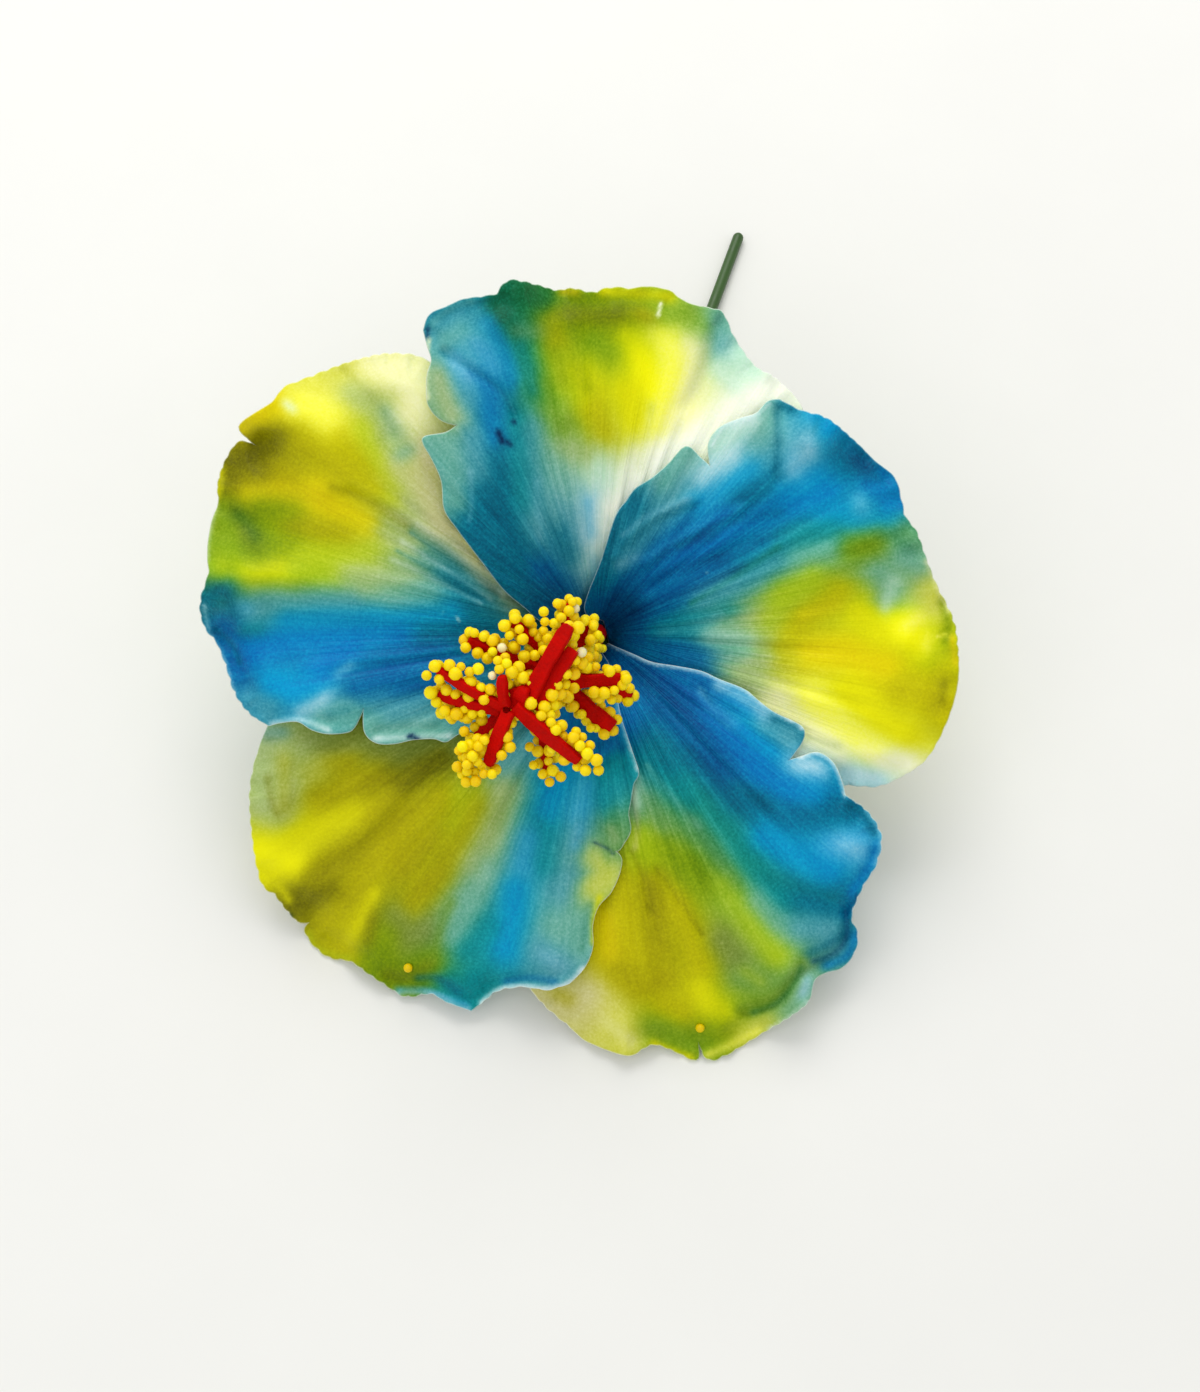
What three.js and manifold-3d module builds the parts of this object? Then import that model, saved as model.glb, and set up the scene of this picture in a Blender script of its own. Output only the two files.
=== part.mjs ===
// Artificial hibiscus flower: five airbrushed foam petals, a red stamen column with beaded fingers,
// a calyx and a short stem. It lies on its two lower petals and the tip of its stem.
// Millimetres, +Z up, the surface it lies on at z = 0.
//
// Shapes are laid out in flower space: x to the right and y up across the flower's face, and
// w along the line of sight, 0 at the petals' rims and negative down the throat.
// place() turns flower space into the part's own space.

import * as THREE from 'three';
import { mergeVertices } from 'three/addons/utils/BufferGeometryUtils.js';
import Module from 'manifold-3d';

const wasm = await Module();
wasm.setup();

// ---------------------------------------------------------------- driving dimensions, mm and degrees

const FLOWER_WIDTH = 115.0;
const FOAM = 1.0;
const GAP = 0.32;
const THROAT_DEPTH = 15.0;
const THROAT_RADIUS = 2.4;
const STEM_RADIUS = 1.0;
const COLUMN_RADIUS = 1.7;
const BEAD_RADIUS = 0.85;
const FINGER_THICKNESS = 1.3;
const FINGER_TAPER = 0.2;

// How the flower leans: its face looks at a viewer this high above the surface and this far away.
const VIEW_ELEVATION = THREE.MathUtils.degToRad(66);
const VIEW_DISTANCE = 320.0;
const RIM_HEIGHT = 25.94;

// Moves the part so that its origin is under the middle of its bounding box.
const ORIGIN_SHIFT = new THREE.Vector3(3.17, -27.04, 0);

// The outlines are measured on the photograph, in its pixels.
const PHOTO_CENTRE = [600, 696];
const FLOWER_WIDTH_PX = 752;
const MM_PER_PX = FLOWER_WIDTH / FLOWER_WIDTH_PX;
const THROAT_PX = [596, 634];

// ---------------------------------------------------------------- flower space

const RIGHT = new THREE.Vector3(1, 0, 0);
const UP = new THREE.Vector3(0, Math.sin(VIEW_ELEVATION), Math.cos(VIEW_ELEVATION));
const TOWARDS_VIEWER = new THREE.Vector3(0, -Math.cos(VIEW_ELEVATION), Math.sin(VIEW_ELEVATION));

/** A photo pixel as x and y across the flower's face. */
function fromPhoto([column, row]) {
  return new THREE.Vector2((column - PHOTO_CENTRE[0]) * MM_PER_PX, (PHOTO_CENTRE[1] - row) * MM_PER_PX);
}

/** Flower space to the part's own space: what lies further from the viewer spreads in proportion. */
function place(x, y, w) {
  const spread = 1 - w / VIEW_DISTANCE;
  return new THREE.Vector3(0, 0, RIM_HEIGHT)
    .addScaledVector(RIGHT, x * spread)
    .addScaledVector(UP, y * spread)
    .addScaledVector(TOWARDS_VIEWER, w)
    .add(ORIGIN_SHIFT);
}

/** A photo pixel at height w, in the part's own space. */
function placePixel(pixel, w) {
  const { x, y } = fromPhoto(pixel);
  return place(x, y, w);
}

const THROAT = fromPhoto(THROAT_PX);

function smoothstep(low, high, value) {
  return THREE.MathUtils.smoothstep(value, low, high);
}

/** A repeatable random number generator. */
function seededRandom(seed) {
  let state = seed;
  return () => {
    state = (state * 1664525 + 1013904223) % 4294967296;
    return state / 4294967296;
  };
}

// ---------------------------------------------------------------- solids

function toSolid(geometry) {
  const bare = geometry.clone();
  bare.deleteAttribute('normal');
  bare.deleteAttribute('uv');
  const merged = mergeVertices(bare, 1e-4);
  return new wasm.Manifold(new wasm.Mesh({
    numProp: 3,
    vertProperties: new Float32Array(merged.attributes.position.array),
    triVerts: new Uint32Array(merged.index.array),
  }));
}

function toGeometry(solid) {
  const mesh = solid.getMesh();
  const geometry = new THREE.BufferGeometry();
  geometry.setAttribute('position', new THREE.BufferAttribute(mesh.vertProperties, 3));
  geometry.setIndex(new THREE.BufferAttribute(mesh.triVerts, 1));
  return geometry;
}

function joinAll(solids) {
  return solids.reduce((whole, solid) => whole.add(solid));
}

/** Drops any loose scrap that a cut left behind. */
function largestBody(solid) {
  return solid.decompose().reduce((best, body) => (body.volume() > best.volume() ? body : best));
}

/** Moves every vertex of a geometry that is laid out in flower space into the part's own space. */
function placeGeometry(geometry) {
  const position = geometry.attributes.position;
  for (let index = 0; index < position.count; index += 1) {
    const point = place(position.getX(index), position.getY(index), position.getZ(index));
    position.setXYZ(index, point.x, point.y, point.z);
  }
  geometry.computeVertexNormals();
  return geometry;
}

// ---------------------------------------------------------------- petals

// Each petal lies over the next one counter-clockwise. `edge` is its free edge, from the throat
// along the side that lies on top, and `rim` goes on around the outside. `tucked` runs back to
// the throat under its other neighbour. A run ends at each sharp corner or notch.
// `folds` are [degrees from the petal's middle, width in degrees, rise in mm at the rim].
const PETALS = [
  {
    name: 'petal_top',
    reach: 55,
    middle: 83,
    color: 0x8fae3a,
    edge: [
      [[590, 636], [562, 630], [540, 620], [525, 607], [505, 590], [483, 562], [458, 529], [445, 509],
        [442, 481], [432, 458], [424, 444], [425, 437], [446, 433], [458, 425]],
      [[458, 425], [444, 421], [434, 413], [428, 402], [427, 388], [428, 374], [432, 360], [428, 346],
        [424, 330]],
    ],
    rim: [
      [[424, 330], [430, 315], [447, 307], [463, 300], [483, 297], [497, 294], [505, 283], [517, 281],
        [542, 287], [556, 291], [573, 289], [592, 293], [610, 288], [633, 289], [647, 287], [669, 291],
        [678, 298], [692, 305], [711, 309], [723, 314], [734, 338], [754, 366], [773, 377], [791, 393]],
    ],
    tucked: [[[791, 393], [802, 412], [790, 440], [760, 475], [720, 520], [680, 560], [640, 602], [606, 632]]],
    folds: [[24, 6, 3.2], [13, 5, -2.2], [2, 7, 1.4], [-12, 8, -1.6], [-25, 6, 1.4]],
    curl: 1.6,
  },
  {
    name: 'petal_left',
    reach: 60,
    middle: 154,
    color: 0x6f9a3f,
    edge: [
      [[590, 642], [578, 664], [560, 690], [528, 714], [495, 727], [462, 732], [446, 741], [434, 738],
        [413, 739], [394, 743], [376, 742], [365, 731], [364, 707]],
      [[364, 707], [354, 727], [345, 732], [327, 733], [312, 729], [298, 721], [281, 722], [269, 725]],
    ],
    rim: [
      [[269, 725], [250, 713], [235, 692], [227, 667], [217, 642], [207, 630], [201, 613], [202, 596],
        [209, 573], [208, 551], [212, 523], [219, 503], [218, 487], [222, 470], [230, 453], [240, 442],
        [257, 446]],
      [[257, 446], [240, 430], [243, 422], [256, 413], [273, 402], [284, 388], [303, 380], [326, 371],
        [348, 363], [374, 356], [393, 354], [416, 356], [430, 363]],
    ],
    tucked: [[[430, 363], [452, 376], [474, 402], [490, 450], [512, 505], [545, 565], [588, 626]]],
    folds: [[27, 6, -2.4], [14, 6, 1.8], [2, 6, -2.2], [-9, 6, 2.0], [-22, 8, -1.6]],
    curl: 2.2,
  },
  {
    name: 'petal_lower_left',
    reach: 63,
    middle: 231,
    color: 0x7f9a3a,
    edge: [
      [[596, 646], [612, 672], [619, 712], [626, 735], [632, 753], [638, 773], [633, 784], [630, 802],
        [628, 814], [630, 830], [624, 842], [615, 851], [593, 842]],
      [[593, 842], [618, 854], [620, 869], [611, 891], [598, 906], [592, 925], [592, 947], [584, 967],
        [569, 983]],
    ],
    rim: [
      [[569, 983], [547, 989], [523, 986], [498, 990], [483, 1001], [471, 1010]],
      [[471, 1010], [446, 1001], [431, 993], [406, 996], [388, 986], [367, 972], [351, 961], [330, 957],
        [315, 946], [305, 931], [310, 922]],
      [[310, 922], [298, 921], [284, 906], [275, 894], [263, 885], [256, 860], [252, 830], [250, 799],
        [253, 771], [261, 744], [269, 725]],
    ],
    tucked: [[[269, 725], [288, 703], [330, 688], [400, 678], [480, 668], [545, 652], [588, 640]]],
    folds: [[31, 6, 2.0], [19, 7, -1.8], [-2, 17, -7.6], [7, 5, 1.6], [-26, 6, 1.2]],
    curl: 1.6,
  },
  {
    name: 'petal_lower_right',
    reach: 66,
    middle: 297,
    color: 0x4f8fa0,
    edge: [
      [[602, 640], [612, 646], [633, 655], [652, 663], [676, 667], [701, 672], [719, 680], [744, 690],
        [759, 702], [774, 713], [793, 722], [803, 729], [802, 741], [788, 761]],
      [[788, 761], [799, 758], [817, 753], [832, 762], [840, 778], [845, 796]],
    ],
    rim: [
      [[845, 796], [854, 802], [866, 811], [877, 826], [881, 842], [875, 866], [863, 885], [851, 915],
        [857, 934], [854, 952], [842, 967], [826, 972], [814, 980], [808, 1001], [790, 1016], [768, 1029],
        [747, 1042], [725, 1055], [708, 1059], [698, 1041]],
      [[698, 1041], [698, 1058], [692, 1059], [673, 1050], [655, 1044], [643, 1048], [630, 1055],
        [609, 1050], [584, 1039], [572, 1028], [547, 1007], [532, 990]],
    ],
    tucked: [[[532, 990], [524, 960], [534, 900], [548, 830], [564, 760], [578, 700], [592, 644]]],
    folds: [[24, 6, 2.2], [12, 5, -2.0], [2, 6, 1.8], [-8, 6, -1.2], [-20, 7, 1.2]],
    curl: 1.4,
  },
  {
    name: 'petal_right',
    reach: 57,
    middle: 11.5,
    color: 0x5a95b5,
    edge: [
      [[599, 629], [586, 612], [588, 596], [602, 560], [616, 517], [627, 501], [636, 489], [653, 478],
        [669, 464], [686, 447], [700, 458], [711, 468]],
      [[711, 468], [709, 444], [720, 428], [740, 419], [756, 414], [768, 402], [779, 400]],
    ],
    rim: [
      [[779, 400], [801, 411], [827, 419], [855, 442], [874, 461], [894, 478], [901, 501], [905, 517],
        [916, 532], [925, 557], [936, 585], [950, 613], [956, 635], [958, 673], [953, 702], [943, 729],
        [930, 753], [915, 768], [884, 784], [866, 786], [848, 784]],
    ],
    tucked: [[[848, 784], [826, 788], [796, 780], [756, 754], [704, 714], [652, 676], [606, 640]]],
    folds: [[30, 5, 2.2], [19, 6, -1.8], [6, 7, 1.8], [-8, 7, -1.8], [-24, 7, 1.6]],
    curl: 1.8,
  },
];

const TURN_BETWEEN_PETALS = 72;
const MEAN_REACH = 60.0;
const FLARE = 13.0;
const SPREAD = 2.6;
const RIM_SAG = 2.4;
const RUFFLE_HEIGHT = 0.8;
const RUFFLE_LENGTH = 15.0;
const CURL_WIDTH = 5.0;
const EDGE_LIFT = 1.3;
const STEP_MARGIN = 1.1;
const RIM_AIR = 1.1;
const TUCKED_TURN = 54;
// The sheets reach past every outline on both sides and outwards, so that the cut leaves no sheet edge.
const SHEET_TURNS = { from: -58, to: 104, steps: 30 };
const SHEET_DISTANCES = { from: THROAT_RADIUS, to: 76, steps: 13 };

/** The trumpet shape that all five petals share: w at a distance from the throat's middle. */
function trumpet(distance) {
  const rise = (THROAT_DEPTH + SPREAD) * (1 - Math.exp((THROAT_RADIUS - distance) / FLARE));
  return -THROAT_DEPTH + rise - RIM_SAG * (distance / MEAN_REACH) ** 3;
}

function trumpetSlope(distance) {
  const step = 0.1;
  return (trumpet(distance + step) - trumpet(distance - step)) / (2 * step);
}

/** How far a petal lies above the next one: its foam, the gap and some air towards the rim. */
function petalStep(distance) {
  const foamAndGap = (FOAM + GAP) * Math.hypot(1, trumpetSlope(distance));
  return STEP_MARGIN * foamAndGap + RIM_AIR * (distance / MEAN_REACH) ** 2;
}

function distanceToRuns(x, y, runs) {
  let nearest = Infinity;
  for (const run of runs) {
    for (let index = 1; index < run.length; index += 1) {
      const start = run[index - 1];
      const end = run[index];
      const dx = end.x - start.x;
      const dy = end.y - start.y;
      const along = ((x - start.x) * dx + (y - start.y) * dy) / (dx * dx + dy * dy);
      const t = THREE.MathUtils.clamp(along, 0, 1);
      nearest = Math.min(nearest, Math.hypot(x - start.x - t * dx, y - start.y - t * dy));
    }
  }
  return nearest;
}

/** w of a petal's upper face, `turn` degrees counter-clockwise of its middle. */
function petalHeight(petal, distance, turn) {
  const angle = THREE.MathUtils.degToRad(petal.middle + turn);
  const x = THROAT.x + distance * Math.cos(angle);
  const y = THROAT.y + distance * Math.sin(angle);
  const out = distance / petal.reach;
  let height = trumpet(distance) + petalStep(distance) * (turn / TURN_BETWEEN_PETALS);
  for (const [at, width, rise] of petal.folds) {
    height += rise * out ** 2 * Math.exp(-(((turn - at) / width) ** 2));
  }
  const free = smoothstep(-38, -22, turn) * (1 - smoothstep(26, 38, turn));
  const alongRim = THREE.MathUtils.degToRad(turn) * petal.reach;
  height += RUFFLE_HEIGHT * free * out ** 4 * Math.sin((2 * Math.PI * alongRim) / RUFFLE_LENGTH);
  height += EDGE_LIFT * smoothstep(26, 46, turn) * out ** 2;
  const toRim = distanceToRuns(x, y, petal.rimRuns);
  height -= petal.curl * (1 - smoothstep(0, CURL_WIDTH, toRim));
  return height;
}

/** The foam sheet before its outline is cut: a polar grid, split alike on both faces. */
function petalSheet(petal) {
  const turns = SHEET_TURNS;
  const distances = SHEET_DISTANCES;
  const positions = [];
  const indices = [];
  for (let ring = 0; ring <= distances.steps; ring += 1) {
    const outward = (ring / distances.steps) ** 1.25;
    const distance = THREE.MathUtils.lerp(distances.from, distances.to, outward);
    for (let ray = 0; ray <= turns.steps; ray += 1) {
      const turn = THREE.MathUtils.lerp(turns.from, turns.to, ray / turns.steps);
      const angle = THREE.MathUtils.degToRad(petal.middle + turn);
      const x = THROAT.x + distance * Math.cos(angle);
      const y = THROAT.y + distance * Math.sin(angle);
      const top = petalHeight(petal, distance, turn);
      const foam = FOAM * Math.hypot(1, trumpetSlope(distance));
      positions.push(x, y, top, x, y, top - foam);
    }
  }
  const vertex = (ring, ray, face) => 2 * (ring * (turns.steps + 1) + ray) + face;
  const quad = (a, b, c, d) => indices.push(a, b, c, a, c, d);
  for (let ring = 0; ring < distances.steps; ring += 1) {
    for (let ray = 0; ray < turns.steps; ray += 1) {
      const corners = [[ring, ray], [ring + 1, ray], [ring + 1, ray + 1], [ring, ray + 1]];
      const [a, b, c, d] = corners.map(([r, t]) => vertex(r, t, 0));
      const [e, f, g, h] = corners.map(([r, t]) => vertex(r, t, 1));
      quad(a, b, c, d);
      indices.push(e, g, f, e, h, g);
    }
    const last = turns.steps;
    quad(vertex(ring, 0, 1), vertex(ring + 1, 0, 1), vertex(ring + 1, 0, 0), vertex(ring, 0, 0));
    quad(vertex(ring, last, 0), vertex(ring + 1, last, 0), vertex(ring + 1, last, 1), vertex(ring, last, 1));
  }
  for (let ray = 0; ray < turns.steps; ray += 1) {
    const outer = distances.steps;
    quad(vertex(0, ray, 0), vertex(0, ray + 1, 0), vertex(0, ray + 1, 1), vertex(0, ray, 1));
    quad(vertex(outer, ray, 1), vertex(outer, ray + 1, 1), vertex(outer, ray + 1, 0), vertex(outer, ray, 0));
  }
  const geometry = new THREE.BufferGeometry();
  geometry.setAttribute('position', new THREE.Float32BufferAttribute(positions, 3));
  geometry.setIndex(indices);
  return geometry;
}

/** A petal: the waved sheet cut along its outline. */
function makePetal(petal) {
  const measured = [...petal.edge, ...petal.rim, ...petal.tucked];
  const runs = measured.map((run) => run.map(fromPhoto));
  petal.rimRuns = petal.rim.map((run) => run.map(fromPhoto));
  const outline = new THREE.Shape();
  outline.moveTo(runs[0][0].x, runs[0][0].y);
  for (const run of runs) {
    outline.splineThru(run.slice(1));
  }
  outline.closePath();
  const depth = 80;
  const cutter = new THREE.ExtrudeGeometry(outline, { depth, bevelEnabled: false, curveSegments: 1 });
  cutter.translate(0, 0, -depth / 2);
  const solid = largestBody(toSolid(petalSheet(petal)).intersect(toSolid(cutter)));
  return placeGeometry(toGeometry(solid));
}

// ---------------------------------------------------------------- stamen column

// The column's middle line, from the throat to its top: [photo pixel, w].
const COLUMN_LINE = [
  [[596, 634], -17.6], [[595, 635], -11], [[586, 649], -4], [[564, 669], 4], [[538, 687], 11],
  [[515, 700], 16.4],
];

// The dark hole where the fingers meet.
const BORE_MOUTH = [[506, 711], 17.0];
const BORE_RADIUS = 0.45;

// The fingers: base and tip as [photo pixel, w], the bare inner face's width, and how far along
// the finger its beads begin (0 at the base).
const FINGERS = [
  { base: [[507, 708], 16.8], tip: [[484, 766], 15.0], width: 2.1, beadsFrom: 0.3 },
  { base: [[514, 708], 16.8], tip: [[578, 763], 16.0], width: 2.2, beadsFrom: 0.2 },
  { base: [[520, 700], 15.4], tip: [[568, 623], 18.4], width: 2.2, beadsFrom: 0.5 },
  { base: [[526, 710], 13.4], tip: [[572, 648], 14.6], width: 2.4, beadsFrom: 0.3 },
  { base: [[504, 706], 16.6], tip: [[502, 676], 19.0], width: 1.5, beadsFrom: 0.6 },
  { base: [[510, 706], 16.2], tip: [[433, 674], 17.4], width: 1.5, beadsFrom: 0.4 },
  { base: [[512, 708], 15.2], tip: [[438, 696], 14.4], width: 1.8, beadsFrom: 0.4 },
  { base: [[555, 682], 6.0], tip: [[619, 680], 8.0], width: 2.0, beadsFrom: 0.4 },
  { base: [[553, 684], 4.0], tip: [[611, 728], 3.6], width: 2.9, beadsFrom: 0.3 },
  { base: [[566, 672], 3.0], tip: [[632, 696], 2.6], width: 1.4, beadsFrom: 0.5 },
  { base: [[556, 668], 5.4], tip: [[571, 604], 11.0], width: 1.6, beadsFrom: 0.3 },
  { base: [[574, 664], 1.6], tip: [[589, 625], 6.6], width: 1.6, beadsFrom: 0.3 },
  { base: [[544, 676], 8.4], tip: [[529, 636], 12.6], width: 1.6, beadsFrom: 0.3 },
  { base: [[525, 688], 12.0], tip: [[468, 640], 13.4], width: 2.0, beadsFrom: 0.35 },
  { base: [[540, 690], 9.0], tip: [[546, 776], 8.0], width: 1.9, beadsFrom: 0.3 },
  { base: [[516, 700], 12.6], tip: [[467, 771], 10.4], width: 1.9, beadsFrom: 0.35 },
  { base: [[516, 700], 13.2], tip: [[440, 716], 11.4], width: 1.9, beadsFrom: 0.35 },
  { base: [[534, 682], 9.8], tip: [[509, 617], 13.4], width: 1.9, beadsFrom: 0.3 },
];

function columnCurve() {
  return new THREE.CatmullRomCurve3(COLUMN_LINE.map(([pixel, w]) => placePixel(pixel, w)));
}

/** A round rod along a curve, or along the part of it that begins at `from` (0 to 1). */
function rodSolid(curve, radius, sides, steps, from = 0) {
  const section = new THREE.Shape();
  section.absarc(0, 0, radius, 0, 2 * Math.PI, false);
  const points = [];
  for (let step = 0; step <= steps; step += 1) {
    points.push(curve.getPointAt(THREE.MathUtils.lerp(from, 1, step / steps)));
  }
  return toSolid(new THREE.ExtrudeGeometry(section, {
    steps, curveSegments: sides / 2, bevelEnabled: false, extrudePath: new THREE.CatmullRomCurve3(points),
  }));
}

/** The finger's own axes: along it, across it, and out of its bare inner face. */
function fingerFrame(finger) {
  const base = placePixel(...finger.base);
  const tip = placePixel(...finger.tip);
  const along = tip.clone().sub(base);
  const length = along.length();
  along.normalize();
  const columnAxis = columnCurve().getTangent(1);
  const across = new THREE.Vector3().crossVectors(columnAxis, along).normalize();
  const inner = new THREE.Vector3().crossVectors(along, across).normalize();
  return { base, along, across, inner, length };
}

/** A strip of foam along a finger, narrower towards its tip: `grow` mm larger all round,
 * with its bare inner face moved out by `rise`. */
function fingerSolid(finger, grow = 0, rise = 0) {
  const { base, along, across, inner, length } = fingerFrame(finger);
  const strip = new THREE.BoxGeometry(1, 1, 1);
  const position = strip.attributes.position;
  for (let index = 0; index < position.count; index += 1) {
    const t = position.getX(index) + 0.5;
    const taper = 1 - FINGER_TAPER * t;
    const reach = THREE.MathUtils.lerp(-grow, length + grow, t);
    const side = position.getY(index) * (finger.width * taper + 2 * grow);
    const depth = position.getZ(index) > 0 ? rise : -FINGER_THICKNESS * taper - grow;
    const point = base.clone()
      .addScaledVector(along, reach)
      .addScaledVector(across, side)
      .addScaledVector(inner, depth);
    position.setXYZ(index, point.x, point.y, point.z);
  }
  return toSolid(strip);
}

/** The red foam: the column and its fingers, cut from one piece. */
function makeStamenCore() {
  const bore = new THREE.CylinderGeometry(BORE_RADIUS, BORE_RADIUS, 6, 8);
  const mouth = placePixel(...BORE_MOUTH);
  bore.rotateX(VIEW_ELEVATION).translate(mouth.x, mouth.y, mouth.z);
  const strips = FINGERS.map((finger) => fingerSolid(finger));
  const core = joinAll([rodSolid(columnCurve(), COLUMN_RADIUS, 10, 8), ...strips]);
  return largestBody(core.subtract(toSolid(bore)));
}

// ---------------------------------------------------------------- bead crust

const BEAD_PITCH = 4.8;
const CRUST = 0.4;
const SLEEVE_START = 0.45;

function beadSolid(centre, radius) {
  return toSolid(new THREE.IcosahedronGeometry(radius, 0).translate(centre.x, centre.y, centre.z));
}

/** Bead centres along both edges, over the tip and down the outer face of a finger. */
function beadCentres(finger, random) {
  const { base, along, across, inner, length } = fingerFrame(finger);
  const centres = [];
  const sideReach = finger.width / 2 + GAP + CRUST;
  // Each row's place across and inward, as shares of the reach to the side and of the thickness.
  const rows = [[-1, -0.4], [1, -0.4], [0.3, -1.5]];
  const start = finger.beadsFrom * length;
  const count = Math.max(1, Math.round((length - start) / BEAD_PITCH));
  for (let step = 0; step < count; step += 1) {
    rows.forEach(([side, depth], row) => {
      const reach = start + ((length - start) * (step + 0.3 + row / rows.length)) / count;
      const wobble = 0.5 * (random() - 0.5);
      centres.push(base.clone()
        .addScaledVector(along, reach)
        .addScaledVector(across, side * sideReach)
        .addScaledVector(inner, depth * FINGER_THICKNESS + wobble));
    });
  }
  return centres;
}

/** The yellow beads, fused on the thin crust that holds them to the fingers. */
function makeStamenBeads() {
  const random = seededRandom(7);
  const parts = [rodSolid(columnCurve(), COLUMN_RADIUS + GAP + CRUST, 8, 4, SLEEVE_START)];
  for (const finger of FINGERS) {
    parts.push(fingerSolid(finger, GAP + CRUST, -0.5 * FINGER_THICKNESS));
    for (const centre of beadCentres(finger, random)) {
      parts.push(beadSolid(centre, BEAD_RADIUS * (0.85 + 0.35 * random())));
    }
  }
  const clearance = joinAll([
    rodSolid(columnCurve(), COLUMN_RADIUS + GAP, 10, 8),
    ...FINGERS.map((finger) => fingerSolid(finger, GAP, BEAD_RADIUS)),
  ]);
  return largestBody(joinAll(parts).subtract(clearance));
}

// ---------------------------------------------------------------- calyx and stem

const CUP_RADIUS = 6.6;
const CUP_WALL = 1.3;
const CUP_FOOT = -25.5;
const SOCKET_DEPTH = 4.0;
const SEPAL_REACH = 14.0;
const SEPAL_HALF_TURN = 30;
const SEPAL_TIP_TURN = 2;
const SEPAL_FOAM = 0.8;

/** The lowest w that any petal's underside has at a distance from the throat's middle. */
function lowestUnderside(distance) {
  const tuckedEdge = trumpet(distance) - petalStep(distance) * (TUCKED_TURN / TURN_BETWEEN_PETALS);
  return tuckedEdge - FOAM * Math.hypot(1, trumpetSlope(distance));
}

/** The cup: a turned shell under the petals' bases, with a blind socket for the stem in its foot. */
function cupSolid() {
  const floor = lowestUnderside(THROAT_RADIUS) - GAP;
  const socket = STEM_RADIUS + GAP;
  const middle = (THROAT_RADIUS + CUP_RADIUS) / 2;
  const seat = (distance) => lowestUnderside(distance) - GAP;
  const profile = [
    [0, floor], [THROAT_RADIUS, floor], [middle, seat(middle)], [CUP_RADIUS, seat(CUP_RADIUS)],
    [CUP_RADIUS + 0.5, seat(CUP_RADIUS) - 0.6], [middle + 0.9, seat(middle) - CUP_WALL],
    [THROAT_RADIUS + 1.0, floor - CUP_WALL], [THROAT_RADIUS + 0.1, CUP_FOOT + 1.0],
    [THROAT_RADIUS - 0.3, CUP_FOOT], [socket, CUP_FOOT], [socket, CUP_FOOT + SOCKET_DEPTH],
    [0, CUP_FOOT + SOCKET_DEPTH],
  ];
  const cup = new THREE.LatheGeometry(profile.map(([x, y]) => new THREE.Vector2(x, y)).reverse(), 16);
  return toSolid(cup.rotateX(Math.PI / 2).translate(THROAT.x, THROAT.y, 0));
}

/** One pointed sepal, lying along the petals' undersides. */
function sepalSolid(middle) {
  const rings = 4;
  const sepal = new THREE.BoxGeometry(1, 1, 1, rings, 2, 1);
  const position = sepal.attributes.position;
  for (let index = 0; index < position.count; index += 1) {
    const t = position.getX(index) + 0.5;
    const distance = THREE.MathUtils.lerp(CUP_RADIUS - 1.4, SEPAL_REACH, t);
    const halfTurn = THREE.MathUtils.lerp(SEPAL_HALF_TURN, SEPAL_TIP_TURN, t ** 1.6);
    const angle = THREE.MathUtils.degToRad(middle + 2 * position.getY(index) * halfTurn);
    const top = lowestUnderside(distance) - GAP;
    const w = top - (0.5 - position.getZ(index)) * SEPAL_FOAM * Math.hypot(1, trumpetSlope(distance));
    position.setXYZ(index, THROAT.x + distance * Math.cos(angle), THROAT.y + distance * Math.sin(angle), w);
  }
  return toSolid(sepal);
}

function makeCalyx() {
  const sepals = PETALS.map((petal) => sepalSolid(petal.middle + TURN_BETWEEN_PETALS / 2));
  return placeGeometry(toGeometry(joinAll([cupSolid(), ...sepals])));
}

/** The point at a height above the surface that is seen at a photo pixel. */
function pixelAtHeight(pixel, height) {
  const { x, y } = fromPhoto(pixel);
  const rise = height - RIM_HEIGHT - y * UP.z;
  return place(x, y, rise / (TOWARDS_VIEWER.z - (y * UP.z) / VIEW_DISTANCE));
}

// Where the stem runs along the surface, and its tip: [photo pixel, height].
const STEM_LINE = [[[618, 561], 1.9], [[660, 448], 1.9], [[738, 238], STEM_RADIUS]];

function makeStem() {
  const socketTop = CUP_FOOT + SOCKET_DEPTH - GAP;
  const curve = new THREE.CatmullRomCurve3([
    place(THROAT.x, THROAT.y, socketTop),
    place(THROAT.x, THROAT.y, CUP_FOOT - 1.0),
    ...STEM_LINE.map(([pixel, height]) => pixelAtHeight(pixel, height)),
  ], false, 'centripetal');
  const tip = curve.getPoint(1);
  const cap = new THREE.SphereGeometry(STEM_RADIUS, 8, 6).translate(tip.x, tip.y, tip.z);
  return rodSolid(curve, STEM_RADIUS, 8, 24).add(toSolid(cap));
}

// ---------------------------------------------------------------- the flower

const flower = new THREE.Group();
flower.name = 'hibiscus_flower';

function addPiece(name, geometry, color, roughness) {
  const material = new THREE.MeshStandardMaterial({ color, roughness, metalness: 0 });
  const mesh = new THREE.Mesh(geometry, material);
  mesh.name = name;
  flower.add(mesh);
}

for (const petal of PETALS) {
  addPiece(petal.name, makePetal(petal), petal.color, 0.75);
}
addPiece('stamen_core', toGeometry(makeStamenCore()), 0xd8170c, 0.8);
addPiece('stamen_beads', toGeometry(makeStamenBeads()), 0xf7cf12, 0.55);
addPiece('calyx', makeCalyx(), 0x3c6b2a, 0.7);
addPiece('stem', toGeometry(makeStem()), 0x2c4a1c, 0.6);

export default flower;
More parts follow.
